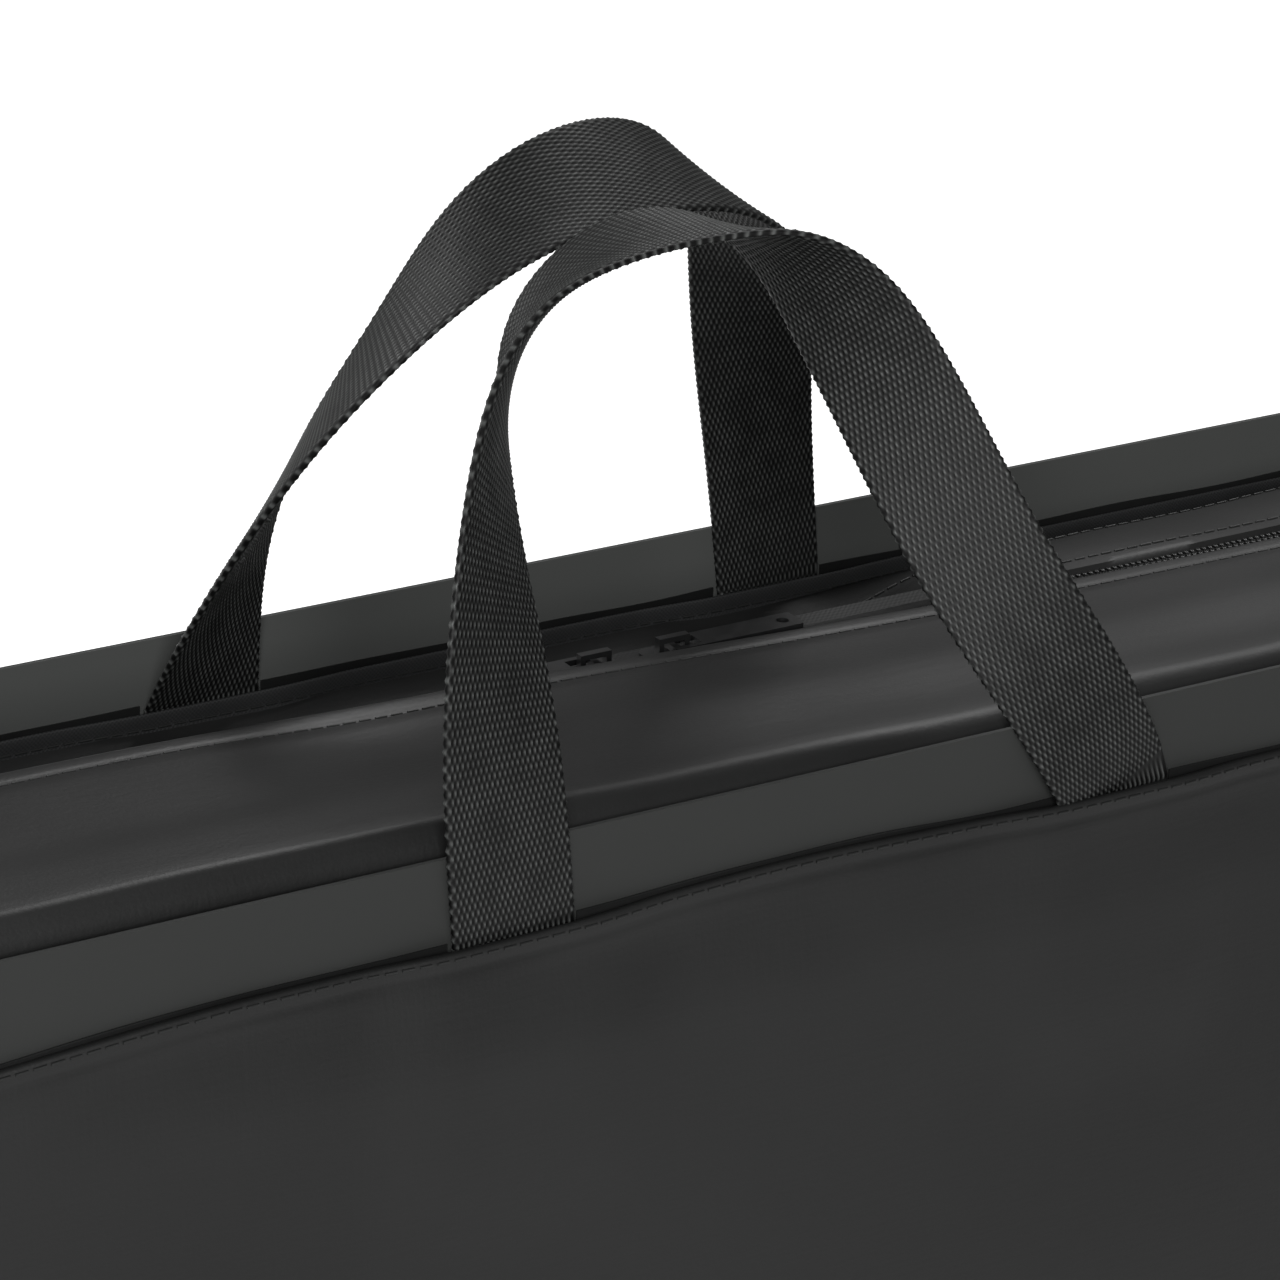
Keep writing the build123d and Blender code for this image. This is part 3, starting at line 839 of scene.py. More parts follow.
class PORTFOLIO_OT_piping(bpy.types.Operator):
    """Make the piping cord down the sides and along the bottom of each wall"""

    bl_idname = "portfolio.piping"
    bl_label = "Piping"

    def execute(self, context):
        around = np.linspace(0, 2 * math.pi, 12, endpoint=False)
        for side in ("front", "back"):
            rings = self.rings(f"{side}_piping", around)
            along = spans(rings[:, :1], 0)
            cord = tube_mesh(f"{side}_piping_cord", rings, "vinyl", around * PIPING_RADIUS, along)
            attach(cord, f"{side}_wall")
            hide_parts(f"{side}_piping")
        return {"FINISHED"}

    def path(self, side_x, bottom, top):
        """Rows of x, z and turn: down the left side, along the bottom and up the right side."""
        bend = 10 * MM
        turns = np.linspace(0, math.pi / 2, 9)[1:]
        left = [(-side_x, height, 0.0) for height in np.linspace(top, bottom + bend, 60)]
        left_bend = [
            (-side_x + bend * (1 - math.cos(a)), bottom + bend * (1 - math.sin(a)), a)
            for a in turns
        ]
        run = [(x, bottom, math.pi / 2) for x in np.linspace(-side_x + bend, side_x - bend, 90)[1:]]
        right_bend = [
            (side_x - bend * (1 - math.sin(a)), bottom + bend * (1 - math.cos(a)), math.pi / 2 + a)
            for a in turns
        ]
        right = [(side_x, height, math.pi) for height in np.linspace(bottom + bend, top, 60)[1:]]
        return np.array(left + left_bend + run + right_bend + right)

    def rings(self, node, around):
        """Rings of the cord, thinner and tucked in towards its two ends."""
        top = high(node).z
        path = self.path(high(node).x - PIPING_RADIUS, low(node).z + PIPING_RADIUS, top)
        x, z, turn = (path[:, i : i + 1] for i in range(3))
        wobble = 1 + 0.02 * ripple(x, z, 53, 30 * MM)
        ending = soft_step((top - z) / (7 * MM))
        radius = PIPING_RADIUS * wobble * (0.25 + 0.75 * ending)
        tuck = (1 - ending) * 3.2 * MM * np.sign(-x)
        ring_x = x + tuck + np.cos(turn) * radius * np.cos(around)
        ring_y = (low(node).y + high(node).y) / 2 + radius * np.sin(around)
        ring_z = z + np.sin(turn) * radius * np.cos(around)
        return np.stack((ring_x, ring_y, ring_z), axis=2)


# ---------------------------------------------------------------- gusset
def rim_stations(bottom, step):
    """Stations up one side, over the top and down the other, along the gusset's outside.

    Each is (x, z, outward x, outward z, share of the top's shape).
    """
    corner_x = HALF_PANEL - CORNER_RADIUS
    corner_z = FLAP_TOP - CORNER_RADIUS
    side = [(-HALF_PANEL, z, -1.0, 0.0, 0.0) for z in np.arange(bottom, corner_z, 2 * step)]
    arc = []
    for a in np.linspace(0, math.pi / 2, 15):
        across, up = -math.cos(a), math.sin(a)
        share = float(soft_step(a / (math.pi / 2)))
        arc.append(
            (-corner_x + CORNER_RADIUS * across, corner_z + CORNER_RADIUS * up, across, up, share)
        )
    half = side + arc
    top = [
        (x, FLAP_TOP, 0.0, 1.0, 1.0)
        for x in np.linspace(-corner_x, corner_x, int(2 * corner_x / step))[1:-1]
    ]
    other = [(-x, z, -across, up, share) for x, z, across, up, share in half[::-1]]
    return np.array(half + top + other)


def band_grid(stations, depth, inset):
    """Grid of a band with its rows along the rim; depth and inset are stations by profile."""
    x = stations[:, :1] - stations[:, 2:3] * inset
    z = stations[:, 1:2] - stations[:, 3:4] * inset
    return np.stack((x, depth, z), axis=2).transpose(1, 0, 2)


def front_gusset_grid():
    """Middle of the front gusset: rolls up behind the board, lies flat, ends in a fold.

    The sides have a plain profile, and the corners blend it into the top's by their share.
    """
    stations = rim_stations(BAND_BOTTOM, RIM_STEP)
    share = stations[:, 4:]
    x = stations[:, :1]
    start = high("front_board").y + 1.2 * MM
    roll = 6.2 * MM
    turn = np.linspace(math.pi, math.pi / 2, 9)
    edge = FLAP_EDGE - 1.0 * MM
    flat = np.concatenate(
        (np.linspace(start + roll, edge - 5 * MM, 15)[1:], edge - np.array([4, 3, 2, 1, 0]) * MM)
    )
    fold = np.linspace(math.pi / 2, -math.pi / 2, 7)[1:]
    fold_radius = FOLD_INSET / 2
    under = edge - np.array([2.5, 5.0, 7.0]) * MM
    top_y = np.concatenate(
        (
            [start, start, start],
            start + roll + roll * np.cos(turn),
            flat,
            edge + fold_radius * np.cos(fold),
            under,
        )
    )
    top_n = np.concatenate(
        (
            [roll + 7 * MM, roll + 4 * MM, roll + 1.5 * MM],
            roll - roll * np.sin(turn),
            0 * flat,
            fold_radius * (1 - np.sin(fold)),
            0 * under + FOLD_INSET,
        )
    )
    side_start = low("front_board").y + 0.4 * MM
    rolled = len(turn) + 3
    side_y = np.concatenate((np.linspace(side_start, start + roll, rolled), top_y[rolled:]))
    side_n = np.concatenate((0 * top_n[:rolled], top_n[rolled:]))
    depth = side_y * (1 - share) + top_y * share
    inset = side_n * (1 - share) + top_n * share + 0.6 * MM
    return shaped_flap(stations, x, share, depth, inset, start, edge)


def flap_drop(x):
    """How far the flap's folded edge hangs below its back, more to the right."""
    return 7.5 * MM * soft_step((x + 150 * MM) / (300 * MM))


def shaped_flap(stations, x, share, depth, inset, start, edge):
    """Puff, sag and stitched groove of the front gusset."""
    across = (depth - start) / (edge - start)
    left = soft_step((60 * MM - x) / (200 * MM))
    right = 1 - left
    valley = near(across, 0.0, 0.03, 0.07) * (0.4 * MM + 1.3 * MM * left)
    depth = depth + share * valley * (depth > start - 0.1 * MM)
    puff = 1.0 * MM * left * near(across, 0.20, 0.08, 0.22)
    puff = puff + 0.5 * MM * ripple(x, depth, 61, 75 * MM) * near(across, 0.45, 0.15, 0.45)
    dip = 2.2 * MM * hump(x + 66 * MM, 26 * MM) * near(across, 0.72, 0.05, 0.3)
    drop = flap_drop(x) * soft_step(across)
    flush = 2.6 * MM * right * near(across, 0.1, 0.12, 0.4)
    groove = 0.45 * MM * hump(depth - edge + 4 * MM, 0.8 * MM)
    pillow = 0.4 * MM * ripple(stations[:, 1:2], depth, 67, 60 * MM) * (1 - share)
    top_change = drop + flush + dip - puff
    inset = inset + share * top_change + pillow * near(across, 0.5, 0.2, 0.3) + groove
    return stations, depth, inset


class PORTFOLIO_OT_gussets(bpy.types.Operator):
    """Make the front and back halves of the gusset band"""

    bl_idname = "portfolio.gussets"
    bl_label = "Gussets"

    def execute(self, context):
        thickness = BAND_LAYERS * settings().soft.gusset
        stations, depth, inset = front_gusset_grid()
        middle = band_grid(stations, depth, inset)
        band = sheet_mesh("front_gusset_band", middle, thickness, "vinyl")
        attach(band, "front_wall")
        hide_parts("front_top_gusset", "front_left_gusset", "front_right_gusset")
        outer = depth[len(depth) // 2, :-FOLDED_ROWS]
        row = int(np.argmin(np.abs(outer - (FLAP_EDGE - 5 * MM))))
        add_seam("front_wall", row_line(middle, row, thickness / 2 + THREAD_LIFT))
        self.back_band(thickness)
        return {"FINISHED"}

    def back_band(self, thickness):
        """The back gusset sags between the zip and the wall."""
        stations = rim_stations(BAND_BOTTOM, RIM_STEP)
        share = stations[:, 4:]
        x = stations[:, :1]
        zip_edge = high("back_zip_coil").y + 0.9 * MM
        wall_edge = BACK_SEAM - 0.3 * MM
        step = np.linspace(0, 1, SLACK_STEPS + 1)[None, 1:]
        fold = np.array([[5.0, 2.5, 0.0, -0.55, 0.0]]) * MM
        lift = np.array([[1.3, 1.3, 1.3, 0.65, 0.0]]) * MM
        depth = np.concatenate((zip_edge + fold, zip_edge + (wall_edge - zip_edge) * step), axis=1)
        depth = np.repeat(depth, len(stations), axis=0)
        over_coil = 0.9 * MM
        wall_inset = (1 - share) * 0.6 * MM + share * (FLAP_TOP - WALL_SEAM)
        slope = ZIP_INSET - over_coil + (wall_inset - ZIP_INSET + over_coil) * step
        hem = np.repeat(ZIP_INSET - over_coil + lift, len(stations), axis=0)
        inset = np.concatenate((hem, slope), axis=1)
        full = np.concatenate((0 * fold, step), axis=1)
        arch = 4 * full * (1 - full)
        deep = soft_step((110 * MM - x) / (60 * MM))
        sag = 15 * MM * deep - 3.5 * MM * (1 - deep)
        crumple = 1.2 * MM * ripple(x + stations[:, 1:2], depth, 71, 55 * MM)
        inset = inset + share * arch * sag + crumple * arch * (0.35 + 0.65 * share)
        inset = inset + share * (0.5 * MM * hump(full - CREST_PLACE, 0.03))
        middle = band_grid(stations, depth, inset)
        band = sheet_mesh("back_gusset_band", middle, thickness, "vinyl")
        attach(band, "back_wall")
        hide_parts("back_top_gusset", "back_left_gusset", "back_right_gusset")
        folded = fold.shape[1]
        for row in (folded + 1, folded + int(CREST_PLACE * SLACK_STEPS)):
            add_seam("back_wall", row_line(middle, row, thickness / 2 + THREAD_LIFT))


# ---------------------------------------------------------------- geometry node helpers
class Tree:
    """A geometry node tree with named inputs, applied to one mesh and made plain."""

    def __init__(self, name, inputs):
        self.group = bpy.data.node_groups.new(name, "GeometryNodeTree")
        face = self.group.interface
        face.new_socket(name="Geometry", in_out="INPUT", socket_type="NodeSocketGeometry")
        for label, kind in inputs.items():
            face.new_socket(name=label, in_out="INPUT", socket_type=kind)
        face.new_socket(name="Geometry", in_out="OUTPUT", socket_type="NodeSocketGeometry")
        self.source = self.group.nodes.new("NodeGroupInput")
        self.result = self.group.nodes.new("NodeGroupOutput")

    def given(self, label):
        """The socket of a named input."""
        return self.source.outputs[label]

    def node(self, kind, setup=None, inputs=None, output=0):
        """Add a node and return one of its outputs."""
        return add_node(self.group, kind, setup, inputs).outputs[output]

    def maths(self, operation, first, second=0.0, third=0.0):
        """Add a Math node."""
        values = {0: first, 1: second, 2: third}
        return self.node("ShaderNodeMath", {"operation": operation}, values)

    def ring(self, sides, radius):
        """A circle, as a path or as the section of one."""
        inputs = {"Resolution": sides, "Radius": radius}
        return self.node("GeometryNodeCurvePrimitiveCircle", None, inputs)

    def tube(self, path, section):
        """A closed tube along a path."""
        inputs = {"Curve": path, "Profile Curve": section, "Fill Caps": True}
        return self.node("GeometryNodeCurveToMesh", None, inputs)

    def stations(self):
        """Points at the pitch along the given lines, and the lines' way at each."""
        run = self.node("GeometryNodeMeshToCurve", None, {"Mesh": self.given("Geometry")})
        inputs = {"Curve": run, "Length": self.given("Pitch")}
        points = self.node("GeometryNodeCurveToPoints", {"mode": "LENGTH"}, inputs, "Points")
        return points, points.node.outputs["Tangent"]

    def turned(self, choices, inputs):
        """A rotation that lines an axis up with a vector."""
        return self.node("FunctionNodeAlignRotationToVector", choices, inputs)

    def finish(self, points, piece, rotation, scale=(1.0, 1.0, 1.0)):
        """Set the piece on the points, and end in plain geometry with the material set."""
        inputs = {"Points": points, "Instance": piece, "Rotation": rotation, "Scale": scale}
        instances = self.node("GeometryNodeInstanceOnPoints", None, inputs)
        plain = self.node("GeometryNodeRealizeInstances", None, {"Geometry": instances})
        smooth = self.node("GeometryNodeSetShadeSmooth", None, {"Geometry": plain})
        inputs = {"Geometry": smooth, "Material": self.given("Material")}
        dressed = self.node("GeometryNodeSetMaterial", None, inputs)
        self.group.links.new(dressed, self.result.inputs["Geometry"])

    def grow(self, name, lines, values):
        """Run the tree on lines of points and return a plain mesh object."""
        points = np.concatenate(lines)
        starts = np.cumsum([0] + [len(line) for line in lines])
        edges = [
            (first, first + 1)
            for start, stop in zip(starts, starts[1:])
            for first in range(start, stop - 1)
        ]
        mesh = bpy.data.meshes.new(name)
        mesh.from_pydata(points.tolist(), edges, [])
        piece = bpy.data.objects.new(name, mesh)
        bpy.context.scene.collection.objects.link(piece)
        modifier = piece.modifiers.new("grow", "NODES")
        modifier.node_group = self.group
        for item in self.group.interface.items_tree:
            if item.in_out == "INPUT" and item.name in values:
                modifier[item.identifier] = values[item.name]
        depsgraph = bpy.context.evaluated_depsgraph_get()
        plain = bpy.data.meshes.new_from_object(piece.evaluated_get(depsgraph), depsgraph=depsgraph)
        piece.modifiers.clear()
        piece.data = plain
        plain.name = name
        bpy.data.meshes.remove(mesh)
        return piece


def stitch_tree():
    """Rows of short stitches with rounded ends, laid along lines."""
    tree = Tree(
        "stitch_rows",
        {
            "Pitch": "NodeSocketFloat",
            "Length": "NodeSocketFloat",
            "Radius": "NodeSocketFloat",
            "Seed": "NodeSocketInt",
            "Material": "NodeSocketMaterial",
        },
    )
    half = tree.maths("MULTIPLY", tree.given("Length"), 0.5)
    start = tree.node("ShaderNodeCombineXYZ", None, {"Z": tree.maths("MULTIPLY", half, -1.0)})
    end = tree.node("ShaderNodeCombineXYZ", None, {"Z": half})
    line = tree.node("GeometryNodeCurvePrimitiveLine", None, {"Start": start, "End": end})
    line = tree.node("GeometryNodeResampleCurve", None, {"Curve": line, "Count": 6})
    place = tree.node("GeometryNodeSplineParameter", None, None, "Factor")
    centred = tree.maths("MULTIPLY_ADD", place, 1.96, -0.98)
    swell = tree.maths("SQRT", tree.maths("SUBTRACT", 1.0, tree.maths("POWER", centred, 2.0)))
    line = tree.node("GeometryNodeSetCurveRadius", None, {"Curve": line, "Radius": swell})
    stitch = tree.tube(line, tree.ring(6, tree.given("Radius")))
    points, way = tree.stations()
    turn = tree.turned({"axis": "Z"}, {"Vector": way})
    spread = tree.node(
        "FunctionNodeRandomValue", {"data_type": "FLOAT"},
        {2: 0.88, 3: 1.08, "Seed": tree.given("Seed")}, 1
    )
    tree.finish(points, stitch, turn, spread)
    return tree


def coil_tree():
    """Turns of a zip's filament round a line that lies in an upright plane across the case."""
    tree = Tree(
        "coil_turns",
        {
            "Pitch": "NodeSocketFloat",
            "Width": "NodeSocketFloat",
            "Height": "NodeSocketFloat",
            "Wire": "NodeSocketFloat",
            "Material": "NodeSocketMaterial",
        },
    )
    size = tree.node(
        "ShaderNodeCombineXYZ", None,
        {"X": tree.given("Width"), "Y": tree.given("Height"), "Z": 1.0}
    )
    loop = tree.node("GeometryNodeTransform", None, {"Geometry": tree.ring(10, 0.5), "Scale": size})
    turn_mesh = tree.tube(loop, tree.ring(5, tree.given("Wire")))
    points, way = tree.stations()
    turn = tree.turned({"axis": "X"}, {"Vector": (0, 1, 0)})
    turn = tree.turned({"axis": "Z", "pivot_axis": "X"}, {"Rotation": turn, "Vector": way})
    tree.finish(points, turn_mesh, turn)
    return tree


# ---------------------------------------------------------------- zip
class PORTFOLIO_OT_zip(bpy.types.Operator):
    """Make the zip's tapes and the turns of its coils"""

    bl_idname = "portfolio.zip"
    bl_label = "Zip"

    def execute(self, context):
        front_y, back_y = high("front_zip_coil").y, low("back_zip_coil").y
        self.tape("front", front_y + COIL_LAP, FLAP_EDGE - 8.3 * MM, ZIP_INSET - 2 * MM)
        self.tape("back", high("back_zip_coil").y + 8.6 * MM, back_y - COIL_LAP, 0.0)
        sizes = settings().thread
        tree = coil_tree()
        meeting = (front_y + back_y) / 2
        for side, outer, inner, shift in (
            ("front", low("front_zip_coil").y, meeting + COIL_OVERLAP, 0.0),
            ("back", high("back_zip_coil").y, meeting - COIL_OVERLAP, sizes.coil_pitch / 2),
        ):
            values = {
                "Pitch": sizes.coil_pitch,
                "Width": abs(inner - outer) - 2 * sizes.wire,
                "Height": 2 * (COIL_HALF_HEIGHT - sizes.wire),
                "Wire": sizes.wire,
                "Material": finish_for("coil"),
            }
            line = self.line(ZIP_END + shift)
            path = np.stack((line[:, 0], 0 * line[:, 0] + (outer + inner) / 2, line[:, 1]), axis=1)
            coil = tree.grow(f"{side}_zip_coil_turns", [path], values)
            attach(coil, f"{side}_wall")
            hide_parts(f"{side}_zip_coil")
        return {"FINISHED"}

    def line(self, bottom):
        """Points (x, z) of the zip's line."""
        stations = rim_stations(bottom, RIM_STEP)
        return stations[:, :2] - stations[:, 2:4] * ZIP_INSET

    def tape(self, side, near_y, far_y, riser):
        """Woven tape beside one coil; the front one turns up under the flap's fold."""
        stations = rim_stations(ZIP_END - 6 * MM, RIM_STEP)
        depth = np.repeat(np.linspace(near_y, far_y, 8)[None, :], len(stations), axis=0)
        inset = 0 * depth + ZIP_INSET
        if riser > 0:
            share = np.linspace(0, 1, 6)[None, 1:]
            height = riser - flap_drop(stations[:, :1]) * stations[:, 4:]
            depth = np.concatenate((depth, far_y + 0 * share * height), axis=1)
            inset = np.concatenate((inset, ZIP_INSET - share * height), axis=1)
        middle = band_grid(stations, depth, inset)
        if near_y > far_y:
            middle = middle[::-1]
        tape = sheet_mesh(f"{side}_zip_tape_weave", middle, 0.5 * MM, "tape")
        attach(tape, f"{side}_wall")
        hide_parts(f"{side}_zip_tape")


# ---------------------------------------------------------------- webbing handles
STEPS_PER_YARN = 4
SELVEDGE = 0.045  # share of half the width
SELVEDGE_TAPER = 0.82
ARCH_SAMPLES = 2500

# Control points of a clamped cubic along the middle of the webbing, in mm from the middle of
# the handle, its wall's webbing and the hem, and the webbing's turn about it in degrees.
FRONT_HANDLE_SHAPE = [
    (-67.3, 0.0, 0.0, 0),
    (-68.3, -0.6, 10.0, 0),
    (-70.7, -0.6, 33.5, 0),
    (-66.1, 12.2, 67.9, 30),
    (-52.3, 34.3, 92.1, 38),
    (-31.7, 49.6, 105.7, 75),
    (2.3, 52.3, 113.8, 98),
    (28.3, 40.6, 96.7, 44),
    (36.3, 8.0, 48.7, 25),
    (57.0, -6.1, 17.6, -2),
    (67.3, 0.0, 0.0, 0),
]
BACK_HANDLE_SHAPE = [
    (-67.3, 0.0, 0.0, 0),
    (-68.4, -10.0, 23.9, 31),
    (-66.0, -27.9, 54.8, 54),
    (-49.9, -43.9, 86.8, 73),
    (-30.4, -47.2, 106.7, 105),
    (-5.9, -45.3, 114.4, 130),
    (21.9, -37.4, 109.6, 112),
    (45.7, -21.7, 89.8, 70),
    (58.7, -3.4, 52.8, 6),
    (65.4, 0.0, 18.5, 2),
    (67.3, 0.0, 0.0, 0),
]


def clamped_cubic(values, samples):
    """Points of the clamped uniform cubic B-spline through a list of control tuples."""
    values = np.array(values, float)
    count = len(values)
    knots = np.concatenate(([0.0] * 3, np.linspace(0, 1, count - 2), [1.0] * 3))
    along = np.linspace(0, 1, samples)
    basis = [
        ((knots[i] <= along) & (along < knots[i + 1])).astype(float) for i in range(count + 3)
    ]
    basis[count - 1][-1] = 1.0
    for degree in range(1, 4):
        for i in range(count + 3 - degree):
            total = np.zeros(samples)
            if knots[i + degree] > knots[i]:
                total += (along - knots[i]) / (knots[i + degree] - knots[i]) * basis[i]
            if knots[i + degree + 1] > knots[i + 1]:
                left = knots[i + degree + 1] - along
                total += left / (knots[i + degree + 1] - knots[i + 1]) * basis[i + 1]
            basis[i] = total
    return sum(basis[i][:, None] * values[i] for i in range(count))


def resampled(points, step):
    """Rows of a line, evenly spaced by about a step along its first three columns."""
    length = run_lengths(points[:, :3])
    count = int(round(length[-1] / step))
    places = np.linspace(0, length[-1], count + 1)
    columns = [np.interp(places, length, points[:, i]) for i in range(points.shape[1])]
    return np.stack(columns, axis=1), places


def webbing_strip(name, line, places, loop_length):
    """Woven strip along a centre line of x, y, z and turn."""
    sizes = settings().web
    half_count = sizes.columns * STEPS_PER_YARN // 2
    grid = np.arange(-half_count, half_count + 1) / half_count
    way = np.gradient(line[:, :3], axis=0)
    way /= np.linalg.norm(way, axis=1, keepdims=True)
    depth = np.array([0.0, 1.0, 0.0])
    across_arch = depth - way * way[:, 1:2]
    across_arch /= np.linalg.norm(across_arch, axis=1, keepdims=True)
    outwards = np.cross(way, across_arch)
    angle = np.radians(line[:, 3:4])
    edge = outwards * np.cos(angle) - across_arch * np.sin(angle)
    face = np.cross(way, edge)

    fade = 2 * MM
    visible = soft_step((places + fade) / fade) * soft_step((loop_length + fade - places) / fade)
    column_wave = np.cos(math.pi * sizes.columns * (grid + 1))
    row_wave = np.cos(math.pi * places / sizes.row_pitch)
    grain = (0.5 + 0.5 * row_wave[:, None] * column_wave[None, :]) * visible[:, None]
    selvedge = np.clip((np.abs(grid) - (1 - SELVEDGE)) / SELVEDGE, 0, 1)
    thin = np.sqrt(1 - SELVEDGE_TAPER * selvedge**2)
    half_thick = (sizes.thickness / 2 - 0.5 * sizes.relief) * thin
    scallop_depth = 0.3 * MM
    scallop = scallop_depth * (0.5 + 0.5 * np.cos(2 * math.pi * places / sizes.row_pitch))
    spread = sizes.width / 2 - scallop_depth
    out = grid[None, :] * (spread + scallop[:, None] * (selvedge > 0))
    lift = half_thick[None, :] + sizes.relief * grain * (1 - 0.6 * selvedge[None, :])
    sideways = line[:, None, :3] + edge[:, None] * out[:, :, None]
    rise = face[:, None] * lift[:, :, None]
    rings = np.concatenate((sideways + rise, (sideways - rise)[:, ::-1]), axis=1)
    run = (grid + 1) * sizes.width / 2
    around = np.concatenate((run, run + sizes.width))
    return tube_mesh(name, rings[:, ::-1], "webbing", around[::-1].copy(), places)


class PORTFOLIO_OT_handles(bpy.types.Operator):
    """Weave the two carrying handles, sewn in below the hems"""

    bl_idname = "portfolio.handles"
    bl_label = "Handles"

    def execute(self, context):
        back_web_y = low("back_board").y - settings().web.thickness / 2
        self.loop("front", FRONT_HANDLE_SHAPE, FRONT_WEB_Y, HEM)
        self.loop("back", BACK_HANDLE_SHAPE, back_web_y, BACK_BOARD_TOP)
        return {"FINISHED"}

    def loop(self, side, shape, depth, hinge):
        """One handle with its two sewn-in ends."""
        sizes = settings().web
        arch = clamped_cubic(shape, ARCH_SAMPLES)
        arch = arch * np.array([MM, MM, MM, 1.0]) + np.array([0.0, depth, HEM, 0.0])
        arch, places = resampled(arch, sizes.row_pitch / 2)
        tail = np.linspace(TAIL_LENGTH, 4 * MM, 16)
        flat_x, flat_y = 0 * tail - strap_centre(), 0 * tail + depth
        left = np.stack((flat_x, flat_y, HEM - tail, 0 * tail), axis=1)
        right = left[::-1] * np.array([-1.0, 1.0, 1.0, 1.0])
        line = np.concatenate((left, arch, right))
        along = np.concatenate((-tail, places, places[-1] + tail[::-1]))
        strip = webbing_strip(f"{side}_handle_webbing", line, along, places[-1])
        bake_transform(strip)
        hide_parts(f"{side}_handle", f"{side}_handle_ends")


# ---------------------------------------------------------------- stitches
class PORTFOLIO_OT_stitches(bpy.types.Operator):
    """Sew every kept seam line"""

    bl_idname = "portfolio.stitches"
    bl_label = "Stitches"

    def execute(self, context):
        sizes = settings().thread
        tree = stitch_tree()
        values = {
            "Pitch": sizes.pitch,
            "Length": sizes.length,
            "Radius": sizes.radius,
            "Seed": 5,
            "Material": finish_for("thread"),
        }
        for body, lines in SEAMS.items():
            stitches = tree.grow(f"{body}_stitches", lines, values)
            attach(stitches, body)
        return {"FINISHED"}


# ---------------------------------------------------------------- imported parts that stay
class PORTFOLIO_OT_hardware(bpy.types.Operator):
    """Finish the boards and the zip's metal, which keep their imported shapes"""

    bl_idname = "portfolio.hardware"
    bl_label = "Boards and zip metal"

    def execute(self, context):
        # The back board gets the skin with painted light on its inner face.
        finishes = {"front_board": "board", "base_board": "board", "back_board": "back_board"}
        for node in (
            "front_zip_stops", "back_zip_stops", "left_slider", "right_slider", "left_pull",
            "right_pull",
        ):
            finishes[node] = "metal"
        for node, finish in finishes.items():
            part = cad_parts[node]
            part.data.materials.clear()
            part.data.materials.append(finish_for(finish))
        return {"FINISHED"}


# ---------------------------------------------------------------- stage
# Name, place, target, size of the softbox and its power in watts.
LAMPS = (
    ("back", (-1.2, 1.9, 1.9), (0.0, 0.0, 0.5), 1.1, 24.0),
    ("top", (1.0, 0.8, 2.2), (-0.1, 0.0, 0.5), 1.0, 17.0),
    ("front", (-1.2, -2.2, 1.6), (0.0, 0.0, 0.4), 1.4, 62.0),
)


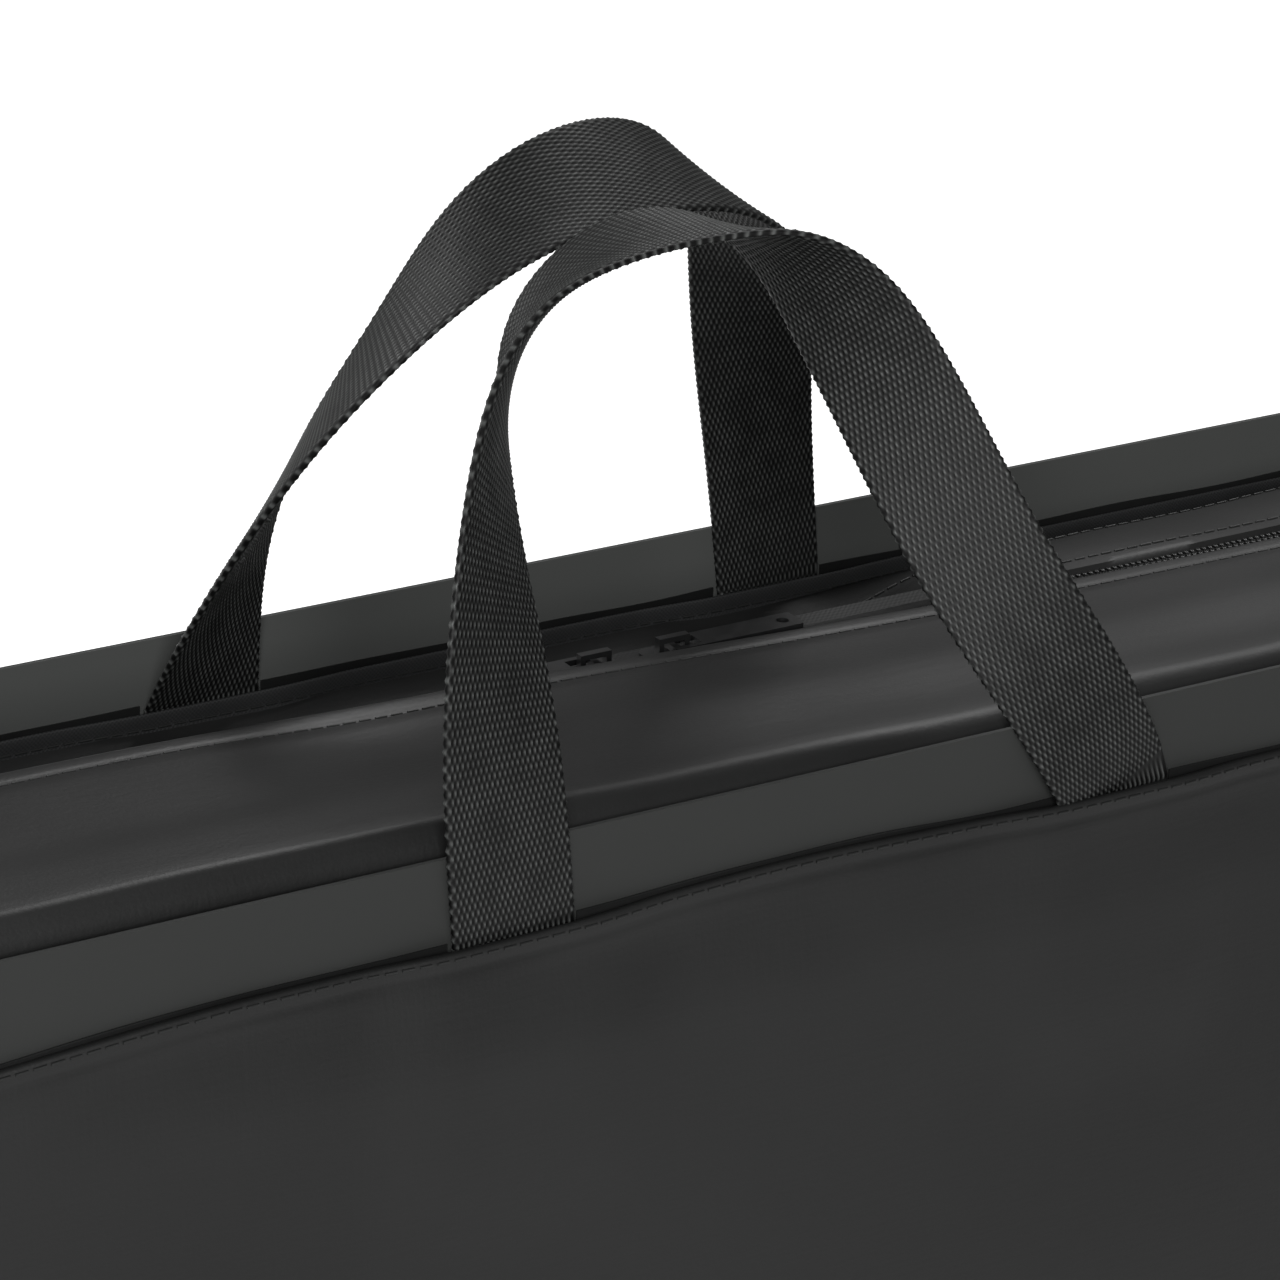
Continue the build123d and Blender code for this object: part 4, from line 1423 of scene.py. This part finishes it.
class PORTFOLIO_OT_stage(bpy.types.Operator):
    """Set the floor, the soft light and the camera"""

    bl_idname = "portfolio.stage"
    bl_label = "Stage"

    def execute(self, context):
        across, along = flat_grid(9, 9, 3, 3)
        level_ground = np.stack((across, along, 0 * across - 1.5 * MM), axis=2)
        floor = sheet_mesh("floor", level_ground, 2 * MM, "floor")
        for lamp in LAMPS:
            self.light(*lamp)
        self.sky()
        context.scene.view_settings.view_transform = "Standard"
        self.camera(context)
        return {"FINISHED"}

    def light(self, name, place, target, size, power):
        """A square softbox that faces its target."""
        lamp = bpy.data.lights.new(name, "AREA")
        lamp.size = size
        lamp.energy = power
        holder = bpy.data.objects.new(name, lamp)
        holder.location = place
        aim = Vector(target) - Vector(place)
        holder.rotation_euler = aim.to_track_quat("-Z", "Y").to_euler()
        bpy.context.scene.collection.objects.link(holder)

    def sky(self):
        """Even light from all round."""
        world = bpy.data.worlds.new("studio")
        world.use_nodes = True
        background = world.node_tree.nodes["Background"]
        background.inputs["Color"].default_value = (1.0, 1.0, 1.0, 1.0)
        background.inputs["Strength"].default_value = settings().stage.sky
        bpy.context.scene.world = world

    def camera(self, context):
        """The camera looks down on the near side of the handles."""
        stage = settings().stage
        turn, lift, roll = stage.azimuth, stage.elevation, stage.roll
        back = Vector(
            (math.sin(turn) * math.cos(lift), -math.cos(turn) * math.cos(lift), math.sin(lift))
        )
        right = Vector((math.cos(turn), math.sin(turn), 0.0))
        up = back.cross(right)
        level, tilt = math.cos(roll), math.sin(roll)
        axes = (level * right + tilt * up, level * up - tilt * right, back)
        data = bpy.data.cameras.new("camera")
        data.lens = stage.lens
        data.sensor_width = 36
        data.clip_start = 0.05
        data.clip_end = 50
        camera = bpy.data.objects.new("camera", data)
        rotation = Matrix([[axis[i] for axis in axes] for i in range(3)]).to_4x4()
        camera.matrix_world = Matrix.Translation(Vector(stage.camera_place)) @ rotation
        context.scene.collection.objects.link(camera)
        context.scene.camera = camera


# ---------------------------------------------------------------- panel and running
OPERATORS = (
    PORTFOLIO_OT_stage,
    PORTFOLIO_OT_hardware,
    PORTFOLIO_OT_covers,
    PORTFOLIO_OT_linings,
    PORTFOLIO_OT_base,
    PORTFOLIO_OT_piping,
    PORTFOLIO_OT_gussets,
    PORTFOLIO_OT_zip,
    PORTFOLIO_OT_handles,
    PORTFOLIO_OT_stitches,
)


class PORTFOLIO_PT_case(bpy.types.Panel):
    """Every piece of the portfolio case"""

    bl_idname = "PORTFOLIO_PT_case"
    bl_label = "Portfolio Case"
    bl_space_type = "VIEW_3D"
    bl_region_type = "UI"
    bl_category = "Portfolio"

    def draw(self, context):
        for operator in OPERATORS:
            self.layout.operator(operator.bl_idname)


CLASSES = (
    PortfolioSoftSizes,
    PortfolioWebSizes,
    PortfolioThreadSizes,
    PortfolioTints,
    PortfolioStage,
    PortfolioCase,
    *OPERATORS,
    PORTFOLIO_PT_case,
)


def register():
    for each in CLASSES:
        bpy.utils.register_class(each)
    bpy.types.Scene.portfolio_case = PointerProperty(type=PortfolioCase)


def unregister():
    del bpy.types.Scene.portfolio_case
    for each in reversed(CLASSES):
        bpy.utils.unregister_class(each)


def main():
    """Make every piece in order."""
    register()
    for operator in OPERATORS:
        group, name = operator.bl_idname.split(".")
        getattr(getattr(bpy.ops, group), name)()


if __name__ == "__main__":
    main()
